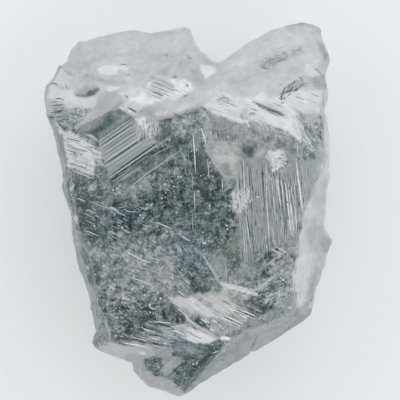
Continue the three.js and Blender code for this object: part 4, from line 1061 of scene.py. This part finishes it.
base = {  # under everything: the sides, their clear lumps, the top, and painted shade on the top's sloping parts
    "sides": {"veil": 0.70, "tone": 0.46, "speck": 0.3, "streak": 0},
    "lumps": {"veil": 0.48, "tone": 0.34, "speck": 0.5},
    "top": {"veil": 0.55, "tone": 0.17, "speck": 1.0, "streak": 0.1, "warmth": -0.12},
    "shadedSlopes": {"veil": 0.85, "tone": 0.14},
    "lumpSize": 1.6,  # mm
    "lumpPlace": 5,  # where their grain is read
    "lumpLimits": (0.0, 0.6),
    "roughSides": 0.035,  # mm
    "roughSize": 0.9,
    "roughPlace": 9,
    "sideFlecks": (0.25, 0.75),  # share of the flecks everywhere, and share that only the top has
    "painted": 1.3,  # strokes wider than this are painted as well as raised
    "slopeLimits": (0.80, 0.98),  # upward part of the normal
    "steepLimits": (0.55, 0.85),
    "flecksFrom": (0.15, 0.4),  # mm above the floor, where flecks fade in
}


def paint(skin):
    top = ramp(skin.normals[:, 2], *skin.facingUp)
    skin.lay(np.ones(len(skin.plan)), **base["sides"])
    lumps = skin.grain.at(skin.points + base["lumpPlace"], base["lumpSize"])
    skin.lay(ramp(lumps, *base["lumpLimits"]), **base["lumps"])
    skin.lay(top, **base["top"])
    # painted shade: the top's sloping faces are made darker and more frosted, so they don't catch the sky's
    # light
    skin.lay(top * (1 - ramp(skin.normals[:, 2], *base["slopeLimits"])), **base["shadedSlopes"])
    for look, tone, soft, ragged, size, corners, *rest in patches:
        skin.patch(spots(corners), soft, ragged, size, **like(look, tone=tone, **dict(*rest)))
    for corners, angle, spacing, length, relief, dark, light, *rest in hatches:
        skin.hatch(spots(corners), angle, spacing, length, relief, dark, light, **dict(*rest))
    for look, radius, tone, centre, *rest in blots:
        skin.blot(spots(centre), radius, **like(look, tone=tone, **dict(*rest)))
    for look, width, tone, line, *rest in strokes:
        if width > base["painted"]:
            skin.stroke(spots(line), width, **like(look, tone=tone, **dict(*rest)))
    everywhere, onTop = base["sideFlecks"]
    skin.value["flecks"] = np.clip(skin.value["speck"] - 0.05, 0, 1) * (everywhere + onTop * skin.facing)
    for corners, density, brightness in granules:
        skin.granules(spots(corners), density, brightness)
    skin.value["flecks"] *= ramp(skin.points[:, 2], *base["flecksFrom"])
    steep = 1 - ramp(np.abs(skin.normals[:, 2]), *base["steepLimits"])
    rough = skin.grain.at(skin.points + base["roughPlace"], base["roughSize"])
    skin.relief += np.maximum(steep, 1 - skin.facing) * rough * base["roughSides"]
    for x, y, reach, height in knobs:
        skin.relief += steep * height * np.exp(-4 * ((skin.plan - (x, y)) ** 2).sum(axis=1) / reach ** 2)


# The crystal's mesh

crystal = {
    "voxel": 0.10,  # mm
    "hold": 0.85,  # how closely the fine mesh follows the cut shape
    "weld": 0.0005,  # mm
    "fineFrom": 2.0,  # mm up, from where the faces that look upward are split once more
    "upward": 0.05,
    "smoothing": 0.5,
}


def cadCopy(nodeName):
    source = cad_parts[nodeName]
    mesh = source.data.copy()
    mesh.transform(source.matrix_world)
    work = bmesh.new()
    work.from_mesh(mesh)
    bmesh.ops.scale(work, vec=(1 / mm,) * 3, verts=work.verts)
    bmesh.ops.remove_doubles(work, verts=work.verts, dist=crystal["weld"])
    work.to_mesh(mesh)
    work.free()
    return mesh


def remeshed(mesh, voxel):
    carrier = inScene("carrier", mesh)
    remesh = carrier.modifiers.new("remesh", "REMESH")
    remesh.mode, remesh.voxel_size = "VOXEL", voxel
    result = meshOf(carrier)
    bpy.data.objects.remove(carrier)
    return result


def readVectors(items, name):
    values = np.empty(len(items) * 3)
    items.foreach_get(name, values)
    return values.reshape(-1, 3)


def splitFaces(work, chosen):
    edges = list({edge for face in chosen for edge in face.edges})
    bmesh.ops.subdivide_edges(work, edges=edges, cuts=1, use_grid_fill=True)
    bmesh.ops.triangulate(work, faces=[face for face in work.faces if len(face.verts) > 4])


def fineMesh(rough):
    surface = bmesh.new()
    surface.from_mesh(rough)
    tree = BVHTree.FromBMesh(surface)
    surface.free()
    work = bmesh.new()
    work.from_mesh(remeshed(rough, crystal["voxel"]))
    upper = [face for face in work.faces
             if face.normal.z > crystal["upward"] and face.calc_center_median().z > crystal["fineFrom"]]
    splitFaces(work, upper)
    for vertex in work.verts:
        nearest = tree.find_nearest(vertex.co)[0]
        vertex.co = vertex.co.lerp(nearest, crystal["hold"])
    bmesh.ops.smooth_vert(work, verts=work.verts, factor=crystal["smoothing"],
                          use_axis_x=True, use_axis_y=True, use_axis_z=True)
    mesh = bpy.data.meshes.new("rough_diamond")
    work.to_mesh(mesh)
    work.free()
    return mesh


surfaceFinish = {
    "toneStops": [  # frost colour for a tone of 0 to 1
        (0.0, (0.0, 0.003, 0.003, 1)),
        (0.10, (0.062, 0.105, 0.105, 1)),
        (0.25, (0.215, 0.262, 0.270, 1)),
        (0.50, (0.49, 0.505, 0.525, 1)),
        (1.0, (0.98, 1.0, 1.0, 1)),
    ],
    "warmTint": (1.06, 1.0, 0.90, 1),
    "coolTint": (0.86, 0.98, 1.08, 1),
    "frostRoughness": 0.45,
    "frostIor": 1.45,
    "glassRoughness": 0.20,
    "glassIor": 2.417,
    "darkGlass": (0.34, 0.46, 0.46, 1),
    "lightGlass": (0.97, 0.98, 1.0, 1),
    "absorptionColour": (0.50, 0.62, 0.62, 1),
    "absorptionDensity": 330.0,  # per metre
    "sand": (12.0, 1.0, 0.5),  # noises: scale per millimetre, detail, roughness
    "leather": (4.6, 2.0, 0.6),
    "clouds": (1.2, 3.0, 0.6),
    "threads": (1.0, 2.0, 0.55),
    "tints": (1.7, 1.0, 0.5),
    "pieceSand": (14.0, 2.0, 0.6),
    "pieceTone": (0.55, 0.9),  # least share of the tone, and how much the sand adds
    "threadTilt": 27,  # degrees
    "threadScale": (3.2 / mm, 17 / mm, 17 / mm),
    "dotScale": 6.5,
    "dotEdge": (0.06, 0.30),  # from a cell's centre, in cells
    "dotRarity": 2.5,
    "sandInGrain": 0.75,
    "grainStrength": (1.3, 0.35),  # with the clouds, and everywhere
    "inTone": {"leather": 0.28, "clouds": 0.5, "threads": 3.5, "grain": 0.80, "patches": 0.40, "dots": 0.34},
    "inVeil": {"dots": 0.35, "grain": 0.8},
    "tintSpread": 1.8,
    "gritStrength": 0.55,
    "gritDepth": 0.02,  # mm
    "gritHeights": (0.8, 0.12, 0.8),  # sand with the speck, sand everywhere, leather
}


def frostColourOf(shader, lightness):
    return shader.node("ShaderNodeValToRGB", {"stops": surfaceFinish["toneStops"]}, "Color", Fac=lightness)


def places(shader):
    # where on the stone, in metres and in millimetres
    inMetres = shader.node("ShaderNodeTexCoord", output="Object")
    return inMetres, shader.node("ShaderNodeMapping", Vector=inMetres, Scale=(1 / mm,) * 3)


def frostMaterial(name, roughness):
    finish = surfaceFinish
    material, shader = newMaterial(name)
    sand = shader.noise(places(shader)[1], *finish["pieceSand"])
    least, sandy = finish["pieceTone"]
    lightness = (shader.attribute("tone") * (least + sandy * sand)).clip()
    frost = shader.node("ShaderNodeBsdfPrincipled", Base_Color=frostColourOf(shader, lightness),
                        Roughness=roughness, IOR=finish["frostIor"])
    shader.node("ShaderNodeOutputMaterial", Surface=frost)
    return material


def diamondMaterial():
    finish = surfaceFinish
    material, shader = newMaterial("diamond")
    inMetres, place = places(shader)
    tilt = math.radians(finish["threadTilt"])
    fallen = shader.node("ShaderNodeMapping", Vector=inMetres, Rotation=(0, 0, tilt))
    fallen = shader.node("ShaderNodeMapping", Vector=fallen, Scale=finish["threadScale"])
    veil, tone, warmth, speck, streak = [shader.attribute(name) for name in Skin.fields[:5]]

    def cell(output):
        return shader.node("ShaderNodeTexVoronoi", {"feature": "F1"}, output, Vector=place,
                           Scale=finish["dotScale"])

    sand, leather, clouds = [shader.noise(place, *finish[name]) for name in ("sand", "leather", "clouds")]
    threads = shader.noise(fallen, *finish["threads"])
    # speck: an etched, leathery grain; streak: fine slanting threads
    grain = (sand - 0.5) * finish["sandInGrain"] + (leather - 0.5)
    cloudy, everywhere = finish["grainStrength"]
    grain = grain * ((clouds * cloudy + everywhere) * speck)
    chance = shader.node("ShaderNodeSeparateColor", output="Red", Color=cell("Color"))
    dots = (1 - shader.step(cell("Distance"), *finish["dotEdge"])) * chance ** finish["dotRarity"] * speck
    inTone, inVeil = finish["inTone"], finish["inVeil"]
    soft = tone * (1 + (leather - 0.5) * inTone["leather"] + (clouds - 0.5) * inTone["clouds"])
    soft = soft * (threads * 2.0) ** (streak * inTone["threads"])
    lightness = soft + grain * inTone["grain"] + (clouds - 0.5) * speck * inTone["patches"]
    lightness = (lightness + dots * inTone["dots"]).clip()
    factor = (veil + dots * inVeil["dots"] + grain * inVeil["grain"]).clip()
    tints = shader.noise(place, *finish["tints"])
    warmth = warmth + (tints - 0.5) * speck * finish["tintSpread"]
    frostColour = frostColourOf(shader, lightness)
    frostColour = shader.blend(warmth.clip(), frostColour, finish["warmTint"], "MULTIPLY")
    frostColour = shader.blend((0 - warmth).clip(), frostColour, finish["coolTint"], "MULTIPLY")
    withSpeck, always, leathery = finish["gritHeights"]
    grit = shader.node("ShaderNodeBump", {}, Strength=finish["gritStrength"],
                       Distance=finish["gritDepth"] * mm,
                       Height=sand * (speck * withSpeck + always) + leather * leathery)
    frost = shader.node("ShaderNodeBsdfPrincipled", Base_Color=frostColour,
                        Roughness=finish["frostRoughness"], IOR=finish["frostIor"], Normal=grit)
    glassTint = shader.blend(tone.clip(), finish["darkGlass"], finish["lightGlass"])
    glass = shader.node("ShaderNodeBsdfPrincipled", Base_Color=glassTint, Roughness=finish["glassRoughness"],
                        IOR=finish["glassIor"], Transmission_Weight=1.0, Normal=grit)
    depth = shader.node("ShaderNodeVolumeAbsorption", Color=finish["absorptionColour"],
                        Density=finish["absorptionDensity"])
    surface = shader.node("ShaderNodeMixShader", s0=factor, s1=glass, s2=frost)
    shader.node("ShaderNodeOutputMaterial", Surface=surface, Volume=depth)
    return material


# Raised growth lines, feather needles and dark slits: slim blades that follow the stone's surface

blades = {
    "sides": 4,
    "thickness": 1.0,  # multiplies every blade
    "pointSpacing": 2.2,  # sheet steps between the points of a blade
    "sunk": 0.15,  # share of the half width below the skin
    "jitter": 0.05,
    "strokeShare": 0.55,  # half width of a blade along a stroke, as a share of the stroke's width
    "uprightFrom": 0.1,  # no blade where the skin's normal rises less than this
    "darkTones": (0.02, 0.12),
    "shortest": 2,  # sheet steps
    "wobble": 0.25,  # degrees
    "unevenSpacing": (0.7, 1.3),
    "thinnestEnd": 0.2,  # share of the blade's width left at its ends
    "fullness": 4,  # the higher, the later a blade narrows
    "liveliness": 1.5,  # the higher, the fewer lines have bold blades
    "boldness": (0.45, 0.55),  # how far chance and the line's liveliness make a blade wide and light
    "darkWidth": 0.8,  # dark blades are slimmer
    "rough": 0.32,
    "seed": 21,
}

families = [  # corners, angle that falls to the right, spacing, length, gap, half width, tones,
    # share of dark ones, fan
    # upright growth lines
    ("240,158 262,157 285,168 303,160 314,164 309,190 302,214 297,241 272,250 262,262 242,262 238,225 "
     "235,200", 84.6, 1.8, (12, 60), (5, 26), (0.26, 0.42), (0.44, 0.72), 0.3, 1.5),
    ("240,162 262,160 285,172 312,168 303,210 295,238 262,256 242,256 236,200", 84.6, 2.8, (3, 9),
     (9, 34), (0.4, 0.64), (0.05, 0.2), 0.85, 1.5),
    ("274,174 298,178 302,212 297,238 285,240", 84, 2.6, (8, 30), (4, 16), (0.28, 0.42), (0.5, 0.72), 0.3,
     0),
    # scratched clusters on the right shoulder
    ("257,68 264,59 276,54 288,50 300,45 302,51 288,59 278,64 266,72", -38, 2.1, (2, 6), (2, 7),
     (0.4, 0.7), (0.2, 0.4), 0, 20),
    ("256,66 268,58 280,55 284,60 268,70", 40, 2.6, (2, 5), (3, 9), (0.4, 0.62), (0.22, 0.4), 0, 20),
    ("278,102 281,91 290,83 303,75 306,84 296,91 284,100", -44, 1.7, (2, 7), (1.5, 5), (0.45, 0.85),
     (0.1, 0.34), 0.25, 16),
    ("276,92 286,84 300,76 316,76 312,84 292,90 282,102", 20, 2.8, (2, 5), (3, 9), (0.4, 0.62),
     (0.2, 0.36), 0.1, 20),
    ("309,78 324,76 325,88 312,86", -20, 2.4, (2, 5), (3, 8), (0.4, 0.6), (0.3, 0.44), 0, 20),
    # dashes on the left shoulder, right rim and tip
    ("48,98 62,98 66,106 60,112 48,112", -6, 3.2, (5, 12), (4, 14), (0.4, 0.62), (0.1, 0.24), 0.3, 8),
    ("297,260 306,258 308,284 303,304 297,300", 78, 2.6, (8, 24), (6, 20), (0.4, 0.75), (0.5, 0.86), 0, 8),
    ("160,340 186,342 196,350 176,352 152,350", 8, 2.8, (5, 16), (6, 20), (0.3, 0.55), (0.35, 0.6), 0.3, 6),
    # below the terraces on the left
    ("110,184 162,147 182,142 180,152 150,173 125,192 114,192", -34, 2.6, (6, 26), (6, 30), (0.26, 0.42),
     (0.18, 0.36), 0.4, 0),
    # banded plate, cheek, tuft and the long light plate on the right
    ("140,89 152,77 170,77 189,80 193,94 165,101 147,97", 27, 2.2, (5, 22), (3, 14), (0.26, 0.46),
     (0.4, 0.75), 0.06, 0),
    ("66,133 84,138 97,147 103,157 95,170 104,181 80,172 70,166 69,150", 18, 2.4, (4, 16), (4, 18),
     (0.26, 0.56), (0.34, 0.85), 0.34, 3),
    ("134,124 158,120 160,132 150,142 140,141", 84, 1.9, (4, 12), (2, 8), (0.26, 0.5), (0.35, 0.8), 0.3, 6),
    ("205,106 216,96 262,101 305,91 320,92 320,113 296,111 262,121 240,121", 22, 3.4, (5, 20), (12, 40),
     (0.24, 0.45), (0.4, 0.8), 0.3, 0),
    # feathers
    ("168,297 205,294 240,303 252,314 240,328 215,322 190,318 176,308", 33, 2.1, (6, 22), (3, 14),
     (0.32, 0.75), (0.5, 0.95), 0.22, 8),
    ("206,308 230,308 244,314 238,324 222,320", 31, 3.2, (5, 14), (4, 14), (0.42, 0.7), (0.26, 0.42), 0.3,
     6),
    ("172,322 192,321 217,337 212,345 190,343 174,334", 29, 2.3, (6, 22), (3, 12), (0.26, 0.5),
     (0.66, 0.95), 0.05, 4),
    ("192,316 206,317 222,322 226,330 214,332 198,325", 40, 2.2, (3, 9), (3, 9), (0.34, 0.66),
     (0.45, 0.9), 0.45, 0),
    ("148,320 186,325 186,342 160,348 130,343 118,338 138,330", 14, 2.1, (5, 20), (4, 14), (0.3, 0.7),
     (0.35, 0.85), 0.38, 10),
    ("112,318 150,320 150,336 118,338", 24, 2.6, (3, 9), (5, 18), (0.34, 0.62), (0.35, 0.75), 0.35, 20),
    ("118,298 160,304 172,316 150,320 116,314", 32, 3, (3, 8), (7, 24), (0.34, 0.66), (0.35, 0.8), 0.25,
     30),
    ("138,274 160,280 192,300 176,300 150,290", 27, 2.3, (4, 13), (3, 14), (0.28, 0.58), (0.4, 0.75), 0.4,
     12),
    ("176,240 192,250 196,286 184,290 170,262", 55, 2.6, (4, 14), (5, 20), (0.28, 0.5), (0.35, 0.65), 0.3,
     8),
    ("76,196 118,205 124,240 84,246", 24, 3, (4, 12), (10, 34), (0.3, 0.55), (0.35, 0.7), 0.25, 8),
    ("120,200 170,205 176,262 124,262", 27, 3.4, (3, 10), (14, 46), (0.28, 0.5), (0.35, 0.65), 0.3, 10),
    ("88,246 140,262 150,300 100,296", 24, 3.4, (3, 10), (14, 46), (0.28, 0.5), (0.35, 0.65), 0.35, 14),
    ("54,104 91,108 79,126 66,130 50,116", -10, 2.4, (3, 10), (4, 14), (0.26, 0.53), (0.28, 0.7), 0.45, 10),
    ("262,252 290,252 293,285 285,314 262,310 256,296 272,281 264,270", -42, 2.4, (3, 10), (4, 16),
     (0.3, 0.62), (0.35, 0.8), 0.4, 24),
    ("268,292 280,288 284,300 272,312 262,304", -46, 1.9, (4, 10), (3, 9), (0.34, 0.66), (0.5, 0.9), 0.35,
     20),
    ("240,298 260,300 266,314 252,318 238,308", 26, 2.6, (3, 8), (4, 12), (0.36, 0.66), (0.3, 0.7), 0.55,
     20),
    ("298,120 320,124 320,158 304,156 306,134", 52, 2.6, (3, 12), (5, 18), (0.24, 0.5), (0.2, 0.5), 0.5,
     14),
    ("186,130 199,128 200,240 188,240", 88, 2.4, (4, 30), (16, 60), (0.24, 0.43), (0.22, 0.45), 0.25, 2),
    ("240,122 292,140 286,150 240,134", 62, 3, (3, 9), (5, 22), (0.24, 0.43), (0.25, 0.5), 0.4, 6),
    ("208,120 236,126 236,143 210,142", 86, 3.2, (3, 8), (7, 22), (0.4, 0.75), (0.12, 0.24), 0.35, 6),
]


def clippedRuns(corners, angle, spacing, fan, draw):
    # the straight runs inside a patch, as start, direction and length
    corners = np.array(corners, float)
    centre = corners.mean(axis=0)
    reach = np.linalg.norm(corners - centre, axis=1).max()
    side = heading(angle)[1]
    across = -reach
    while across < reach:
        along = heading(angle + fan * across / Skin.fanReach + draw.normal(0, blades["wobble"]))[0]
        steps = np.arange(-reach, reach, 1.0)
        places = centre + side * across + steps[:, None] * along
        within = inside(places, corners)
        edges = np.flatnonzero(np.diff(np.concatenate(([0], within.astype(int), [0]))))
        for first, last in edges.reshape(-1, 2):
            if last - first > blades["shortest"]:
                yield places[first], along, float(last - first - 1)
        across += spacing * draw.uniform(*blades["unevenSpacing"])


def familyLines(draw):
    # every blade as (points on the sheet, half width, tone)
    for corners, angle, spacing, length, gap, halfWidth, tones, dark, fan in families:
        for start, along, run in clippedRuns(spots(corners), angle, spacing, fan, draw):
            at = draw.uniform(0, gap[1]) * 0.5
            liveliness = draw.uniform(0, 1) ** blades["liveliness"]
            while at < run:
                reach = min(draw.uniform(*length), run - at)
                if reach > blades["shortest"]:
                    ends = [start + along * at, start + along * (at + reach)]
                    if draw.random() < dark:
                        width = draw.uniform(*halfWidth) * blades["darkWidth"]
                        yield ends, width, draw.uniform(*blades["darkTones"])
                    else:
                        byChance, byLine = blades["boldness"]
                        part = byChance * draw.random() + byLine * liveliness
                        width, tone = [low + (high - low) * part for low, high in (halfWidth, tones)]
                        yield ends, width, tone
                at += reach + draw.uniform(*gap)


def resampled(line, spacing):
    line = np.array(line, float)
    lengths = np.linalg.norm(np.diff(line, axis=0), axis=1)
    total = lengths.sum()
    marks = np.linspace(0, total, max(3, int(total / spacing) + 1))
    runs = np.concatenate(([0], np.cumsum(lengths)))
    return np.stack((np.interp(marks, runs, line[:, 0]), np.interp(marks, runs, line[:, 1])), axis=1)


def fromSheet(surface, spot):
    # the place on the stone under a place on the sheet, in mm
    eye = Vector((*sheet["centre"], sheet["girdle"] + sheet["eye"]))
    (left, top), step = sheet["zero"], sheet["step"]
    target = Vector(((spot[0] - left) * step, (top - spot[1]) * step, sheet["girdle"]))
    return surface.ray_cast(eye, (target - eye).normalized())[:2]


def bladePaths(stone):
    # the blades' centre lines as one mesh of edges
    draw = np.random.default_rng(blades["seed"])
    surface = BVHTree.FromPolygons([vertex.co / mm for vertex in stone.data.vertices],
                                   [face.vertices for face in stone.data.polygons])
    vertices, edges, thickness, tones = [], [], [], []
    lines = list(familyLines(draw))
    for _, width, tone, line, *_ in strokes:
        lines.append((spots(line), width * blades["strokeShare"], tone))
    for line, halfWidth, tone in lines:
        places = resampled(line, blades["pointSpacing"])
        previous = None
        for index, place in enumerate(places):
            hit, normal = fromSheet(surface, place + draw.normal(0, blades["jitter"], 2))
            if hit is None or normal.z < blades["uprightFrom"]:
                previous = None
                continue
            fromMiddle = abs(2 * index / (len(places) - 1) - 1)
            swell = max(blades["thinnestEnd"], 1 - fromMiddle ** blades["fullness"])
            radius = halfWidth * sheet["step"] * swell
            vertices.append((hit - normal * radius * blades["sunk"]) * mm)
            thickness.append(radius * mm)
            tones.append(tone)
            if previous is not None:
                edges.append((previous, len(vertices) - 1))
            previous = len(vertices) - 1
    mesh = bpy.data.meshes.new("growth_lines")
    mesh.from_pydata(vertices, edges, [])
    store(mesh, "thickness", thickness)
    store(mesh, "tone", tones)
    return mesh


def buildBlades(stone):
    carrier = inScene("growth_lines", bladePaths(stone))
    group = NodeGroup("blades", Sides=("NodeSocketInt", blades["sides"]),
                      Thickness=("NodeSocketFloat", blades["thickness"]))
    curve = group.node("GeometryNodeMeshToCurve", {}, "Curve", Mesh=group.given("Geometry"))
    section = group.node("GeometryNodeCurvePrimitiveCircle", {"mode": "RADIUS"}, "Curve",
                         Resolution=group.given("Sides"), Radius=1.0)
    body = group.node("GeometryNodeCurveToMesh", {}, "Mesh", Curve=curve, Profile_Curve=section,
                      Scale=group.stored("thickness") * group.given("Thickness"), Fill_Caps=True)
    piece = group.finish(carrier, body, frostMaterial("growth lines", blades["rough"]))
    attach(piece, "root")
    print("growth lines ready:", len(piece.data.polygons), "faces")


# Flecks: tiny pyramids and chips that stand on the skin

flecks = {
    "perSquareMm": 34.0,
    "smallest": 0.014,  # mm, half width
    "largest": 0.050,
    "seed": 8,
    "seeds": (3, 5, 9),  # of size, turn and tone
    "smallFirst": 3.0,  # the higher, the fewer flecks are large
    "brightSize": 0.25,
    "tones": (0.18, 0.55),  # darkest, and how much chance adds
    "brightTones": (0.30, 0.25),
    "chip": {"Vertices": 4, "Radius_Top": 0.35, "Radius_Bottom": 1.0, "Depth": 0.7},
    "tilt": 0.25,  # radians
    "turn": 6.28,
    "rough": 0.3,
}


def buildFlecks(stone):
    carrier = inScene("surface_flecks", stone.data.copy())
    group = NodeGroup("flecks", Density=("NodeSocketFloat", flecks["perSquareMm"] / mm ** 2),
                      Smallest=("NodeSocketFloat", flecks["smallest"] * mm),
                      Largest=("NodeSocketFloat", flecks["largest"] * mm),
                      Seed=("NodeSocketInt", flecks["seed"]))
    density = group.stored("flecks") * group.given("Density")
    scatter = group.add("GeometryNodeDistributePointsOnFaces", {"distribute_method": "RANDOM"},
                        Mesh=group.given("Geometry"), Density=density, Seed=group.given("Seed"))
    points, upright = [Wire(group.tree, scatter.outputs[name]) for name in ("Points", "Rotation")]
    chip = group.node("GeometryNodeMeshCone", {"fill_type": "NGON"}, "Mesh", **flecks["chip"])
    bright, smallest = group.stored("bright"), group.given("Smallest")
    sizeSeed, turnSeed, toneSeed = flecks["seeds"]
    luck = group.chance(0.0, 1.0, sizeSeed) ** flecks["smallFirst"]
    size = (smallest + (group.given("Largest") - smallest) * luck) * (1 + bright * flecks["brightSize"])
    tilt = flecks["tilt"]
    spin = group.chance((-tilt, -tilt, 0.0), (tilt, tilt, flecks["turn"]), turnSeed, "FLOAT_VECTOR")
    turned = group.node("FunctionNodeRotateRotation", {"rotation_space": "LOCAL"}, "Rotation",
                        Rotation=upright, Rotate_By=spin)
    placed = group.node("GeometryNodeInstanceOnPoints", {}, "Instances", Points=points, Instance=chip,
                        Rotation=turned, Scale=size)
    luck = group.chance(0.0, 1.0, toneSeed)
    (darkest, more), (brighter, brightest) = flecks["tones"], flecks["brightTones"]
    tone = darkest + luck ** 2.0 * more + bright * (brighter + luck * brightest)
    settings = {"data_type": "FLOAT", "domain": "INSTANCE"}
    toned = group.node("GeometryNodeStoreNamedAttribute", settings, "Geometry", Geometry=placed, Name="tone",
                       Value=tone)
    piece = group.finish(carrier, toned, frostMaterial("flecks", flecks["rough"]))
    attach(piece, "root")
    print("flecks ready:", len(piece.data.polygons), "faces")


def buildCrystal():
    mesh = fineMesh(cadCopy("diamond"))
    print("crystal remeshed:", len(mesh.vertices), "vertices")
    points, normals = readVectors(mesh.vertices, "co"), readVectors(mesh.vertex_normals, "vector")
    skin = Skin(points, normals)
    paint(skin)
    points = points + normals * skin.relief[:, None]
    points[:, 2] = np.maximum(points[:, 2], 0)
    mesh.vertices.foreach_set("co", (points * mm).ravel())
    for name, values in skin.value.items():
        store(mesh, name, values)
    mesh.shade_smooth()
    mesh.materials.clear()
    mesh.materials.append(diamondMaterial())
    stone = inScene("rough_diamond", mesh)
    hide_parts("diamond")
    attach(stone, "root")
    print("crystal ready:", len(mesh.polygons), "faces")
    return stone


buildStudio()
stone = buildCrystal()
buildBlades(stone)
buildFlecks(stone)

[[list(corner) for corner in box] for box in (cadBox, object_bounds())]
